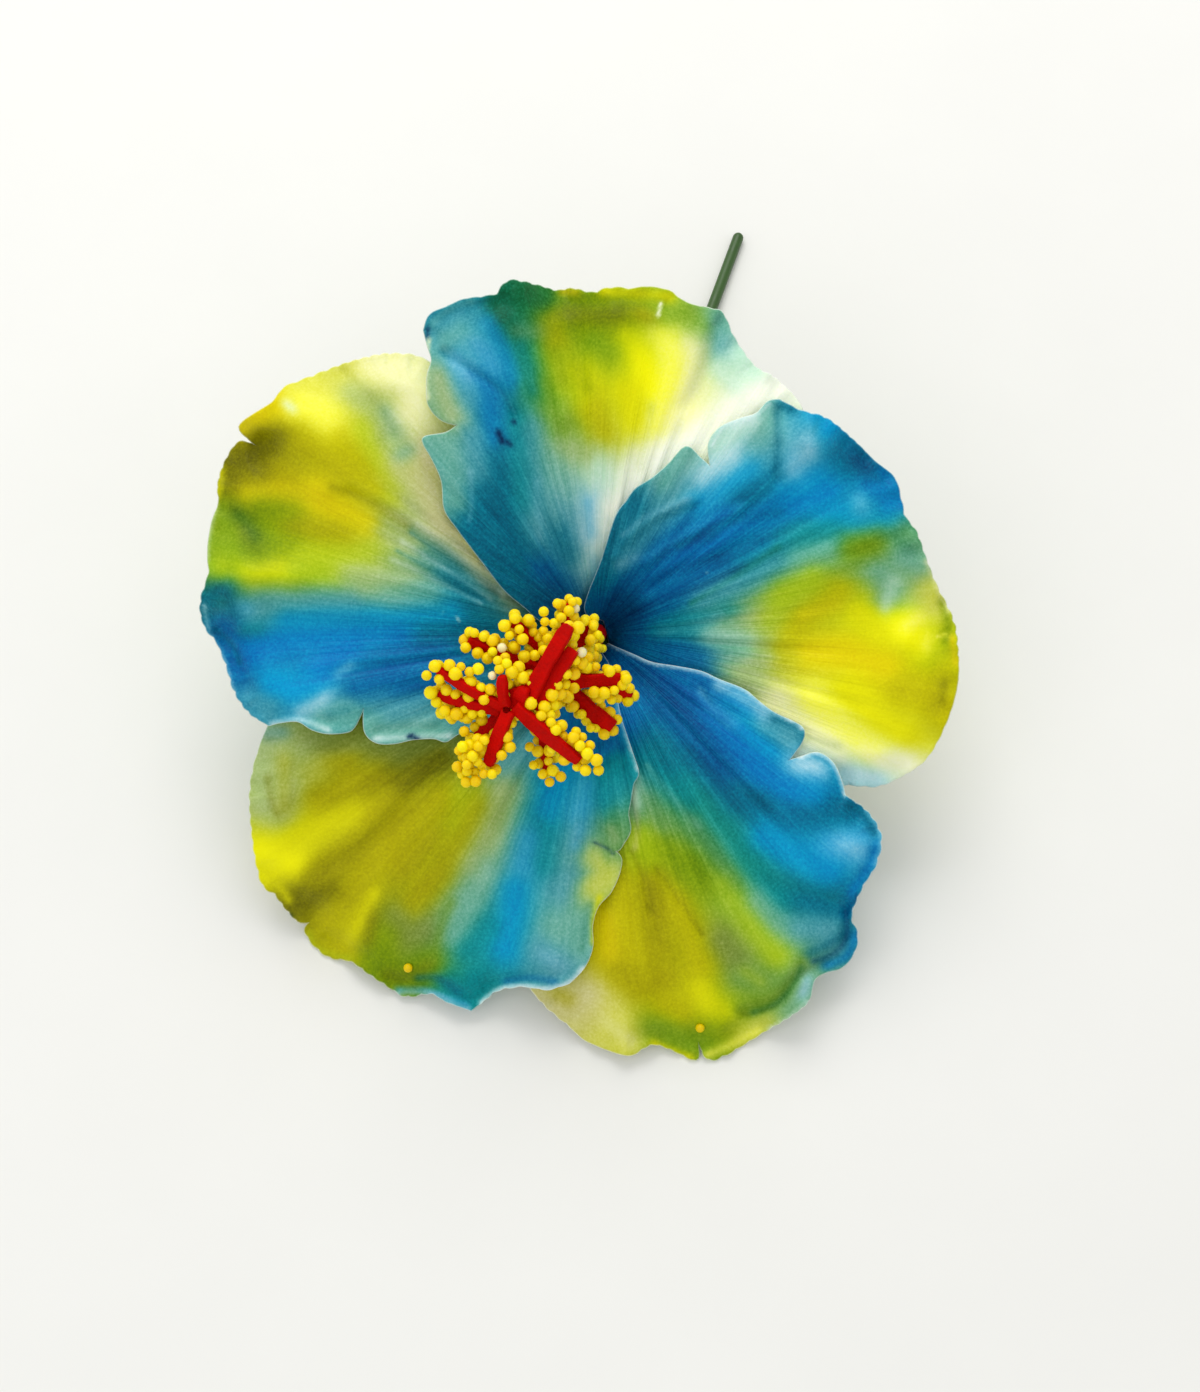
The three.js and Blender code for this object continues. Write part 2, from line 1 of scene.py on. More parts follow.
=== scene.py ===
"""An artificial hibiscus flower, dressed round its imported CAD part.

Five airbrushed foam petals, a red foam stamen crusted with beads, a calyx and a stem, lying on a
pale floor. Outlines, folds and spray passes are laid out in the photograph's pixels, and heights
in millimetres; place() turns both into the part's own space, in metres.
"""

import math
import random
from collections import namedtuple

import bpy
import numpy as np
from mathutils import Matrix, Vector
from mathutils.geometry import delaunay_2d_cdt


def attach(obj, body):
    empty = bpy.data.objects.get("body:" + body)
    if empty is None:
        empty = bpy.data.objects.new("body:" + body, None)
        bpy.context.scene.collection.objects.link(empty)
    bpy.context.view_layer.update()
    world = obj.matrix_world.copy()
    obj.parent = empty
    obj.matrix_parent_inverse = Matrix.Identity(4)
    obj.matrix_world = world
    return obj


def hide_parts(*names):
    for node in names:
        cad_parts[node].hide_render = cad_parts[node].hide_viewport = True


bl_info = {
    "name": "Artificial hibiscus flower",
    "version": (1, 0, 0),
    "blender": (4, 5, 0),
    "location": "View3D > Sidebar > Hibiscus",
    "description": "Builds the petals, stamen, calyx and stem of a foam hibiscus flower, and its stage",
    "category": "Add Mesh",
}

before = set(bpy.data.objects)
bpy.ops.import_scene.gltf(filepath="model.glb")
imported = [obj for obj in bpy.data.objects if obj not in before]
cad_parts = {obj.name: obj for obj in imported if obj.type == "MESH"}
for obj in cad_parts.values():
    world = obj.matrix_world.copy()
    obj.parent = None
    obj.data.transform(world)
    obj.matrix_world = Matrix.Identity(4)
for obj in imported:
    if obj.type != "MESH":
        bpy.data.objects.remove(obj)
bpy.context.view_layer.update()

MM = 0.001

# -------- flower space

# x runs to the right and y up across the flower's face, w along the line of sight:
# 0 at the petals' rims and negative down the throat. All in mm.
FLOWER_WIDTH = 115.0
FLOWER_WIDTH_PX = 752
MM_PER_PX = FLOWER_WIDTH / FLOWER_WIDTH_PX
PHOTO_SIZE = (1200, 1392)
PHOTO_CENTRE = np.array([600.0, 696.0])
THROAT_PX = np.array([596.0, 634.0])
VIEW_ELEVATION = math.radians(66)
VIEW_DISTANCE = 320.0
RIM_HEIGHT = 25.94
ORIGIN_SHIFT = np.array([3.17, -27.04, 0.0])

RIGHT = np.array([1.0, 0.0, 0.0])
UP = np.array([0.0, math.sin(VIEW_ELEVATION), math.cos(VIEW_ELEVATION)])
TOWARDS_VIEWER = np.array([0.0, -math.cos(VIEW_ELEVATION), math.sin(VIEW_ELEVATION)])


def from_photo(pixels):
    """Photo pixels as x and y across the flower's face, in mm."""
    return (np.asarray(pixels, float) - PHOTO_CENTRE) * (MM_PER_PX, -MM_PER_PX)


def to_photo(points):
    """x and y across the flower's face as photo pixels."""
    return np.asarray(points) / (MM_PER_PX, -MM_PER_PX) + PHOTO_CENTRE


def place(x, y, w):
    """Flower space, in mm, to the part's own space, in metres, one row for each point."""
    x, y, w = (np.atleast_1d(np.asarray(value, float)) for value in (x, y, w))
    spread = 1 - w / VIEW_DISTANCE
    points = np.outer(x * spread, RIGHT) + np.outer(y * spread, UP) + np.outer(w, TOWARDS_VIEWER)
    return (points + ORIGIN_SHIFT + (0, 0, RIM_HEIGHT)) * MM


def place_pixel(pixel, w):
    """A photo pixel at height w, in the part's own space."""
    x, y = from_photo(pixel)
    return Vector(place(x, y, w)[0])


THROAT = from_photo(THROAT_PX)


def smoothstep(low, high, value):
    """A smooth rise from 0 at `low` to 1 at `high`."""
    share = np.clip((value - low) / (high - low), 0, 1)
    return share * share * (3 - 2 * share)


def curve_through(points, gap):
    """Points about `gap` apart on the smooth curve that runs through all of `points`."""
    points = np.asarray(points, float)
    padded = np.vstack([points[:1], points, points[-1:]])
    curve = []
    for before, start, end, after in zip(padded, padded[1:], padded[2:], padded[3:]):
        steps = max(1, round(float(np.linalg.norm(end - start)) / gap))
        for t in np.arange(steps) / steps:
            curve.append(0.5 * (
                2 * start + (end - before) * t
                + (2 * before - 5 * start + 4 * end - after) * t**2
                + (3 * start - before - 3 * end + after) * t**3
            ))
    return np.array(curve + [points[-1]])


def nearest_on_path(points, path):
    """For each point, its distance to the path and how far along the path that is (0 to 1)."""
    path = np.asarray(path, float)
    lengths = np.linalg.norm(np.diff(path, axis=0), axis=1)
    ends = np.concatenate([[0.0], np.cumsum(lengths)])
    nearest = np.full(len(points), np.inf)
    along = np.zeros(len(points))
    for start, end, length, so_far in zip(path, path[1:], lengths, ends):
        step = end - start
        share = np.clip((points - start) @ step / max(length**2, 1e-9), 0, 1)
        distance = np.linalg.norm(points - start - share[:, None] * step, axis=1)
        closer = distance < nearest
        nearest = np.where(closer, distance, nearest)
        along = np.where(closer, (so_far + share * length) / ends[-1], along)
    return nearest, along


def stroke(points, radius, path):
    """How strongly a soft stroke covers each point: dabs along the path, each fading over `radius`,
    so that its sides and its ends fade alike. The radius may be a pair, at the start and the end."""
    at_start, at_end = radius if isinstance(radius, tuple) else (radius, radius)
    dabs = curve_through(path, min(at_start, at_end) / 2)
    radii = np.linspace(at_start, at_end, len(dabs))

    def cover(places):
        across = places[:, None, :] - dabs[None, :, :]
        return (np.exp(-(across**2).sum(axis=2) / radii**2) / radii).sum(axis=1)

    return cover(points) / cover(dabs).max()


# -------- petals

# Each petal lies over the next one counter-clockwise. `edge` is its free edge, from the throat
# along the side that lies on top, `rim` goes on around the outside, and `tucked` runs back to the
# throat under its other neighbour; a run ends at each sharp corner or notch.
# `folds` are (degrees from the petal's middle, width in degrees, rise in mm at the rim), and
# `creases` are (rise in mm, radius in px, then the points of a path in px).
PETALS = {}
PETALS["petal_top"] = {
    "reach": 55, "middle": 83, "curl": 1.6,
    "edge": [
        [(590, 636), (562, 630), (540, 620), (525, 607), (505, 590), (483, 562), (458, 529), (445, 509),
         (442, 481), (432, 458), (424, 444), (425, 437), (446, 433), (458, 425)],
        [(458, 425), (444, 421), (434, 413), (428, 402), (427, 388), (428, 374), (432, 360), (428, 346),
         (424, 330)],
    ],
    "rim": [
        [(424, 330), (430, 315), (447, 307), (463, 300), (483, 297), (497, 294), (505, 283), (517, 281),
         (542, 287), (556, 291), (573, 289), (592, 293), (610, 288), (633, 289), (647, 287), (669, 291),
         (678, 298), (692, 305), (711, 309), (723, 314), (734, 338), (754, 366), (773, 377), (791, 393)],
    ],
    "tucked": [
        [(791, 393), (802, 412), (790, 440), (760, 475), (720, 520), (680, 560), (640, 602), (606, 632)],
    ],
    "folds": [(24, 6, 3.2), (13, 5, -2.2), (2, 7, 1.4), (-12, 8, -1.6), (-25, 6, 1.4)],
    "creases": [
        (-0.9, 5, (442, 350), (472, 369), (498, 388), (517, 415)),
        (1.0, 14, (478, 332), (500, 358), (520, 392)), (-0.8, 9, (720, 322), (708, 366), (684, 410)),
        (-0.7, 10, (506, 300), (520, 320), (530, 350)), (0.5, 9, (556, 320), (560, 360), (566, 420)),
        (-0.6, 7, (572, 304), (604, 302), (640, 300), (664, 306)),
        (-0.5, 6, (446, 318), (470, 309), (492, 303)),
    ],
}
PETALS["petal_left"] = {
    "reach": 60, "middle": 154, "curl": 2.2,
    "edge": [
        [(590, 642), (578, 664), (560, 690), (528, 714), (495, 727), (462, 732), (446, 741), (434, 738),
         (413, 739), (394, 743), (376, 742), (365, 731), (364, 707)],
        [(364, 707), (354, 727), (345, 732), (327, 733), (312, 729), (298, 721), (281, 722), (269, 725)],
    ],
    "rim": [
        [(269, 725), (250, 713), (235, 692), (227, 667), (217, 642), (207, 630), (201, 613), (202, 596),
         (209, 573), (208, 551), (212, 523), (219, 503), (218, 487), (222, 470), (230, 453), (240, 442),
         (257, 446)],
        [(257, 446), (240, 430), (243, 422), (256, 413), (273, 402), (284, 388), (303, 380), (326, 371),
         (348, 363), (374, 356), (393, 354), (416, 356), (430, 363)],
    ],
    "tucked": [
        [(430, 363), (452, 376), (474, 402), (490, 450), (512, 505), (545, 565), (588, 626)],
    ],
    "folds": [(27, 6, -2.4), (14, 6, 1.8), (2, 6, -2.2), (-9, 6, 2.0), (-22, 8, -1.6)],
    "creases": [
        (-0.8, 5, (347, 490), (398, 518), (443, 549), (499, 591)), (-0.8, 14, (262, 450), (280, 436)),
        (0.7, 14, (285, 482), (330, 492)), (-1.1, 18, (235, 520), (265, 528)),
        (0.8, 12, (245, 575), (300, 577)), (-0.8, 6, (226, 628), (250, 640)),
        (0.8, 18, (285, 695), (330, 682)), (-0.6, 8, (284, 404), (298, 412)),
        (-0.6, 8, (340, 372), (372, 404), (390, 440)),
        (-0.7, 5, (213, 628), (231, 646), (240, 668), (252, 694)),
        (-0.5, 5, (376, 732), (404, 729), (440, 729)), (-0.6, 5, (284, 712), (312, 718), (334, 722)),
    ],
}
PETALS["petal_lower_left"] = {
    "reach": 63, "middle": 231, "curl": 1.6,
    "edge": [
        [(596, 646), (612, 672), (619, 712), (626, 735), (632, 753), (638, 773), (633, 784), (630, 802),
         (628, 814), (630, 830), (624, 842), (615, 851), (593, 842)],
        [(593, 842), (618, 854), (620, 869), (611, 891), (598, 906), (592, 925), (592, 947), (584, 967),
         (569, 983)],
    ],
    "rim": [
        [(569, 983), (547, 989), (523, 986), (498, 990), (483, 1001), (471, 1010)],
        [(471, 1010), (446, 1001), (431, 993), (406, 996), (388, 986), (367, 972), (351, 961), (330, 957),
         (315, 946), (305, 931), (310, 922)],
        [(310, 922), (298, 921), (284, 906), (275, 894), (263, 885), (256, 860), (252, 830), (250, 799),
         (253, 771), (261, 744), (269, 725)],
    ],
    "tucked": [
        [(269, 725), (288, 703), (330, 688), (400, 678), (480, 668), (545, 652), (588, 640)],
    ],
    "folds": [(31, 6, 2.0), (19, 7, -1.8), (-2, 17, -7.6), (7, 5, 1.6), (-26, 6, 1.2)],
    "creases": [
        (-0.65, (6, 12), (452, 749), (412, 797), (375, 840), (310, 874)), (0.7, 10, (396, 861), (351, 936)),
        (-0.9, 16, (392, 925), (402, 960)), (-0.8, 12, (300, 895), (316, 905)),
        (-0.5, 4, (593, 842), (576, 838)), (-0.5, 6, (600, 762), (622, 744)),
        (-0.5, 5, (272, 778), (272, 812)), (0.5, 6, (288, 760), (288, 800)),
        (-0.8, 5, (384, 974), (410, 984), (438, 984), (462, 994), (474, 998), (492, 985), (524, 974),
         (560, 974)),
        (-0.5, 7, (322, 936), (346, 948), (370, 960)),
    ],
}
PETALS["petal_lower_right"] = {
    "reach": 66, "middle": 297, "curl": 1.4,
    "edge": [
        [(602, 640), (612, 646), (633, 655), (652, 663), (676, 667), (701, 672), (719, 680), (744, 690),
         (759, 702), (774, 713), (793, 722), (803, 729), (802, 741), (788, 761)],
        [(788, 761), (799, 758), (817, 753), (832, 762), (840, 778), (845, 796)],
    ],
    "rim": [
        [(845, 796), (854, 802), (866, 811), (877, 826), (881, 842), (875, 866), (863, 885), (851, 915),
         (857, 934), (854, 952), (842, 967), (826, 972), (814, 980), (808, 1001), (790, 1016), (768, 1029),
         (747, 1042), (725, 1055), (708, 1059), (698, 1041)],
        [(698, 1041), (698, 1058), (692, 1059), (673, 1050), (655, 1044), (643, 1048), (630, 1055),
         (609, 1050), (584, 1039), (572, 1028), (547, 1007), (532, 990)],
    ],
    "tucked": [
        [(532, 990), (524, 960), (534, 900), (548, 830), (564, 760), (578, 700), (592, 644)],
    ],
    "folds": [(24, 6, 2.2), (12, 5, -2.0), (2, 6, 1.8), (-8, 6, -1.2), (-20, 7, 1.2)],
    "creases": [
        (-0.45, 3.5, (630, 850), (642, 876), (651, 914)), (-0.45, 4, (656, 868), (676, 896), (703, 936)),
        (-1.5, 5, (741, 1013), (774, 1003), (796, 976), (829, 957), (846, 934), (845, 908)),
        (-0.7, 5, (850, 808), (868, 826), (873, 850), (862, 874)), (-0.8, 12, (770, 885), (838, 905)),
        (0.8, 16, (840, 846), (856, 850)), (0.6, 15, (800, 928), (826, 934)),
        (-0.5, 12, (688, 1036), (704, 1036)), (-0.7, 6, (632, 1040), (658, 1032), (686, 1044)),
        (-0.7, 6, (712, 1040), (736, 1028), (752, 1018)), (-0.5, 4, (700, 688), (709, 706)),
        (0.6, 8, (730, 700), (776, 738)),
    ],
}
PETALS["petal_right"] = {
    "reach": 57, "middle": 11.5, "curl": 1.8,
    "edge": [
        [(599, 629), (586, 612), (588, 596), (602, 560), (616, 517), (627, 501), (636, 489), (653, 478),
         (669, 464), (686, 447), (700, 458), (711, 468)],
        [(711, 468), (709, 444), (720, 428), (740, 419), (756, 414), (768, 402), (779, 400)],
    ],
    "rim": [
        [(779, 400), (801, 411), (827, 419), (855, 442), (874, 461), (894, 478), (901, 501), (905, 517),
         (916, 532), (925, 557), (936, 585), (950, 613), (956, 635), (958, 673), (953, 702), (943, 729),
         (930, 753), (915, 768), (884, 784), (866, 786), (848, 784)],
    ],
    "tucked": [
        [(848, 784), (826, 788), (796, 780), (756, 754), (704, 714), (652, 676), (606, 640)],
    ],
    "folds": [(30, 5, 2.2), (19, 6, -1.8), (6, 7, 1.8), (-8, 7, -1.8), (-24, 7, 1.6)],
    "creases": [
        (-0.8, 4, (778, 408), (779, 445), (777, 482)), (0.8, 14, (806, 424), (822, 462)),
        (0.6, 5, (612, 560), (640, 530), (690, 496)), (-1.0, 11, (886, 585), (884, 612)),
        (0.7, 12, (912, 612), (905, 646)), (0.6, 10, (856, 500), (866, 512)),
        (-0.5, 5, (942, 598), (944, 640)), (-0.5, 4, (622, 552), (652, 524), (700, 504)),
        (0.5, 5, (640, 566), (690, 534), (744, 508)), (-0.5, 6, (650, 590), (700, 562), (760, 540)),
        (-0.6, 7, (840, 440), (866, 462), (888, 484)),
    ],
}

# The shape that the petals share and how they lie on each other, in mm and degrees.
THROAT_DEPTH = 15.0
THROAT_RADIUS = 2.4
MEAN_REACH = 60.0
FLARE = 13.0
SPREAD = 2.6
RIM_SAG = 2.4
RUFFLE_HEIGHT = 0.8
RUFFLE_LENGTH = 15.0
CURL_WIDTH = 5.0
EDGE_LIFT = 1.3
PETAL_GAP = 0.32
CAD_FOAM = 1.0
STEP_MARGIN = 1.1
RIM_AIR = 1.1
TURN_BETWEEN_PETALS = 72
TUCKED_TURN = 54
# Radial wrinkles: (how many round the throat, phase, height in mm), where they begin and end as a
# share of the petal's reach, and how often they fade in and out round the throat.
WRINKLES = [(41, 0.7, 0.18), (67, 2.9, 0.12), (101, 5.1, 0.07)]
WRINKLE_START = (0.12, 0.3)
WRINKLE_END = (0.5, 0.95)
WRINKLE_PATCHES = 9
# How far wrinkles sway, and how often they do so outwards and round the throat.
WRINKLE_SWAY = (0.8, 3.1, 2)
# Flutes along the rim, and a longer swell under them: (its share, its half waves round the rim).
FLUTE_HEIGHT = 0.3
FLUTE_LENGTH = 4.4
FLUTE_WIDTH = 4.0
FLUTE_SWELL = (0.6, 10.3)
SCALLOP_DEPTH = 0.34
SCALLOP_LENGTH = 2.1
SCALLOP_FADE = 3
# Degrees from the petal's middle over which its outer part comes free of its neighbours, and over
# which the side that lies on top lifts.
FREE_FROM = (-38, -22)
FREE_TO = (26, 38)
LIFT_FROM = (26, 46)
PRESSED_WIDTH = 3.0
RESTING_HEIGHT = 0.1
# Degrees round the throat for each unit across the petals' UV map.
UV_TURN = 120


def trumpet(distance):
    """The trumpet shape that all five petals share: w at a distance from the throat's middle."""
    rise = (THROAT_DEPTH + SPREAD) * (1 - np.exp((THROAT_RADIUS - distance) / FLARE))
    return -THROAT_DEPTH + rise - RIM_SAG * (distance / MEAN_REACH) ** 3


def steepness(distance):
    """How much longer the trumpet's surface is than its plan, which thickens what is measured in w."""
    step = 0.1
    return np.hypot(1, (trumpet(distance + step) - trumpet(distance - step)) / (2 * step))


def petal_step(distance):
    """How far a petal lies above the next one."""
    layer = STEP_MARGIN * (CAD_FOAM + PETAL_GAP) * steepness(distance)
    return layer + RIM_AIR * (distance / MEAN_REACH) ** 2


def polar(points, middle):
    """Distance from the throat, and degrees counter-clockwise of a petal's middle."""
    across = points - THROAT
    distance = np.maximum(np.linalg.norm(across, axis=1), THROAT_RADIUS)
    turn = np.degrees(np.arctan2(across[:, 1], across[:, 0])) - middle
    return distance, (turn + 180) % 360 - 180


def wrinkles(distance, angle, reach):
    """The height of the fine wrinkles that run outwards from the throat."""
    out = distance / reach
    sway, outwards, sideways = WRINKLE_SWAY
    drift = sway * np.sin(outwards * out + sideways * angle)
    waves = sum(height * np.sin(count * angle + phase + drift) for count, phase, height in WRINKLES)
    patches = 0.6 + 0.4 * np.sin(WRINKLE_PATCHES * angle + 6 * out)
    return waves * patches * smoothstep(*WRINKLE_START, out) * (1 - smoothstep(*WRINKLE_END, out))


def upper_face(petal, points, rim):
    """w of a petal's upper face at points across the flower's face."""
    distance, turn = polar(points, petal["middle"])
    out = distance / petal["reach"]
    height = trumpet(distance) + petal_step(distance) * turn / TURN_BETWEEN_PETALS
    for at, width, rise in petal["folds"]:
        height += rise * out**2 * np.exp(-(((turn - at) / width) ** 2))
    height += wrinkles(distance, np.radians(turn + petal["middle"]), petal["reach"])
    free = smoothstep(*FREE_FROM, turn) * (1 - smoothstep(*FREE_TO, turn))
    along_rim = np.radians(turn) * petal["reach"]
    height += RUFFLE_HEIGHT * free * out**4 * np.sin(2 * math.pi * along_rim / RUFFLE_LENGTH)
    height += EDGE_LIFT * smoothstep(*LIFT_FROM, turn) * out**2
    to_rim, share = nearest_on_path(points, rim)
    height -= petal["curl"] * (1 - smoothstep(0, CURL_WIDTH, to_rim))
    rim_length = np.linalg.norm(np.diff(rim, axis=0), axis=1).sum()
    swell, half_waves = FLUTE_SWELL
    flutes = np.sin(2 * math.pi * share * rim_length / FLUTE_LENGTH)
    flutes += swell * np.sin(half_waves * share * math.pi)
    height += FLUTE_HEIGHT * flutes * (1 - smoothstep(0, FLUTE_WIDTH, to_rim))
    pixels = to_photo(points)
    for rise, radius, *path in petal["creases"]:
        height += rise * stroke(pixels, radius, path)
    return height


def scalloped(run):
    """A stretch of rim with small uneven scallops, deeper in some places than in others."""
    step = np.gradient(run, axis=0)
    outward = np.stack([step[:, 1], -step[:, 0]], axis=1) / np.linalg.norm(step, axis=1)[:, None]
    outward *= np.sign((outward * (run - THROAT)).sum(axis=1))[:, None]
    at = np.concatenate([[0], np.cumsum(np.linalg.norm(np.diff(run, axis=0), axis=1))])
    start = run[0, 0]
    # Slow waves of unlike lengths, so that no two scallops are the same.
    unevenness = 0.5 + 0.3 * np.sin(at / 7 + start) + 0.2 * np.sin(at / 2.9 + 2 * start)
    depth = SCALLOP_DEPTH * unevenness * smoothstep(0, SCALLOP_FADE, np.minimum(at, at[-1] - at))
    drift = 0.9 * np.sin(at / 3.1 + start) + 1.5 * np.sin(at / 6.3 + 2 * start)
    bumps = np.abs(np.sin(math.pi * at / SCALLOP_LENGTH + drift))
    return run + outward * (depth * (bumps - 0.7))[:, None]


def petal_outline(petal, gap):
    """The petal's closed outline and its rim alone, across the flower's face, in mm."""
    runs = {part: [curve_through(from_photo(run), gap) for run in petal[part]]
            for part in ("edge", "rim", "tucked")}
    runs["rim"] = [scalloped(run) for run in runs["rim"]]
    whole = np.vstack([run[:-1] for part in runs.values() for run in part])
    across = whole - THROAT
    distance = np.linalg.norm(across, axis=1)
    outside = THROAT + across * (np.maximum(distance, THROAT_RADIUS) / distance)[:, None]
    return outside, np.vstack(runs["rim"])


def fill_outline(outline, gap):
    """Points across the outline, in offset rows, and the triangles between them."""
    low, high = outline.min(axis=0), outline.max(axis=0)
    rows = np.arange(low[1], high[1], gap * math.sqrt(0.75))
    columns = np.arange(low[0], high[0], gap)
    shift = (np.arange(len(rows)) % 2) * gap / 2
    across = (columns[None, :] + shift[:, None]).ravel()
    inner = np.stack([across, np.repeat(rows, len(columns))], axis=1)
    to_edge, _ = nearest_on_path(inner, np.vstack([outline, outline[:1]]))
    inner = inner[to_edge > 0.6 * gap]
    count = len(outline)
    edges = [(index, (index + 1) % count) for index in range(count)]
    points = [Vector(point) for point in np.vstack([outline, inner])]
    filled, _, triangles, _, _, _ = delaunay_2d_cdt(points, edges, [], 1, 1e-5)
    used = sorted({corner for triangle in triangles for corner in triangle})
    renumber = {old: new for new, old in enumerate(used)}
    points = np.array([filled[old][:] for old in used])
    return points, [[renumber[corner] for corner in triangle] for triangle in triangles]


# -------- airbrush, with painted highlights and painted shade

# Broad passes that run into each other: (colour, then the points of its path in px). Some passes are painted
# light: sky passes are painted highlights on raised parts, and dark olive passes are painted shade in folds
# and under the petal that lies above.
WASHES_AND_PAINTED_LIGHT = {}
WASHES_AND_PAINTED_LIGHT["petal_top"] = [
    ("petrol", (430, 322), (450, 308), (474, 300)), ("slate", (436, 330), (456, 316), (470, 312)),
    # The sky pass below is a painted highlight on the raised fold.
    ("pale_teal", (446, 338), (460, 330), (470, 338)), ("sky", (474, 342), (486, 352), (494, 368)),
    ("cobalt", (490, 322), (503, 345), (512, 378)), ("dark_green", (494, 304), (505, 320), (516, 334)),
    ("dark_green", (504, 296), (520, 302), (545, 300)), ("sea_green", (520, 342), (528, 365), (533, 392)),
    # The sky pass below is a painted highlight on the raised fold.
    ("sky", (456, 364), (468, 376)), ("slate", (470, 384), (474, 396)),
    ("sage", (438, 374), (446, 400), (454, 418)), ("cobalt", (484, 382), (490, 408), (496, 436)),
    ("pale_teal", (446, 444), (455, 470), (456, 500)), ("slate", (474, 440), (478, 470)),
    ("petrol", (482, 490), (486, 520)), ("petrol", (500, 460), (504, 505), (512, 555)),
    ("teal", (514, 420), (520, 450), (524, 500)), ("slate", (530, 430), (533, 475), (537, 520)),
    ("pale_teal", (552, 460), (562, 492)), ("slate", (556, 502), (570, 516)),
    ("petrol", (564, 534), (572, 556)), ("pale_blue", (590, 500), (590, 535)),
    ("petrol", (470, 525), (500, 565), (535, 600)), ("royal_blue", (545, 572), (575, 592), (590, 615)),
    ("sky", (597, 575), (594, 596)), ("white", (772, 388), (735, 410), (700, 438), (662, 466)),
    ("white", (700, 438), (664, 458), (640, 478), (618, 502), (606, 522)),
    ("white", (684, 440), (652, 458), (628, 480), (608, 508)), ("white", (602, 532), (595, 556)),
    ("mint", (592, 570), (592, 590)), ("mint", (596, 470), (604, 484)), ("sage", (564, 448), (584, 452)),
    ("olive", (553, 318), (556, 340)), ("lime", (558, 358), (563, 384)),
    ("leaf_green", (546, 386), (552, 408), (562, 428)), ("moss", (568, 313), (598, 314), (626, 308)),
    ("moss", (576, 322), (600, 328), (612, 334)), ("leaf_green", (594, 342), (614, 348)),
    ("yellow", (576, 370), (590, 392)), ("mustard", (592, 410), (602, 432)),
    ("bright_yellow", (624, 338), (640, 360), (650, 384)), ("yellow", (630, 392), (636, 420)),
    ("lemon", (664, 336), (674, 358), (664, 400), (654, 424)),
    ("leaf_green", (664, 312), (684, 316), (702, 324)), ("cream", (692, 350), (690, 384), (672, 422)),
    ("slate", (715, 322), (722, 342)), ("mint", (738, 352), (752, 368)),
]
WASHES_AND_PAINTED_LIGHT["petal_left"] = [
    ("cream", (366, 366), (402, 372), (420, 392), (406, 416)), ("sage", (350, 392), (372, 408), (384, 428)),
    ("straw", (338, 378), (350, 370)), ("straw", (300, 388), (316, 392)), ("lemon", (302, 398), (332, 412)),
    ("lemon", (310, 408), (330, 424)), ("gold", (245, 424), (258, 412), (273, 404)),
    ("dark_olive", (260, 438), (272, 440)), ("mustard", (300, 438), (322, 452), (345, 470)),
    ("dark_olive", (230, 462), (246, 462), (262, 452)), ("dark_olive", (236, 482), (262, 474)),
    ("olive", (276, 470), (292, 474)), ("mustard", (340, 434), (356, 456), (372, 484)),
    ("lime", (364, 432), (380, 462), (392, 488)), ("sage", (386, 440), (398, 476), (414, 508)),
    ("stone", (396, 468), (418, 492), (440, 526)),
    ("stone", (428, 458), (442, 492), (458, 530), (484, 574), (508, 604)),
    ("gold", (248, 490), (278, 487), (312, 494)), ("gold", (322, 502), (345, 512), (364, 522)),
    ("leaf_green", (232, 512), (248, 524), (258, 542)), ("moss", (262, 508), (290, 512)),
    ("olive", (296, 526), (322, 532), (344, 534)), ("moss", (264, 548), (290, 544)),
    ("lime", (300, 552), (330, 554), (368, 556)), ("yellow", (226, 573), (254, 574), (280, 570)),
    ("lime", (296, 574), (334, 572)), ("sage", (348, 572), (374, 568)),
    ("sage", (364, 584), (396, 580), (424, 566)), ("sage", (388, 530), (408, 540)),
    ("petrol", (428, 562), (456, 580), (500, 608)), ("pale_teal", (390, 596), (430, 592)),
    ("slate", (262, 602), (304, 600), (350, 602)), ("petrol", (207, 600), (218, 592), (228, 584)),
    ("azure", (290, 620), (345, 616), (400, 618), (450, 614)),
    ("cobalt", (252, 652), (292, 640), (345, 632), (400, 632)), ("petrol", (430, 632), (470, 632)),
    ("royal_blue", (226, 628), (236, 650), (244, 680)), ("slate", (248, 694), (266, 706)),
    ("azure", (270, 686), (296, 692), (316, 688)), ("cobalt", (322, 668), (350, 646)),
    ("royal_blue", (356, 688), (392, 668), (440, 652)), ("royal_blue", (400, 682), (440, 676)),
    ("petrol", (480, 622), (510, 628), (545, 640)), ("pale_teal", (326, 714), (350, 710)),
    ("slate", (396, 712), (430, 708), (460, 712)), ("pale_teal", (372, 730), (400, 732), (440, 728)),
]
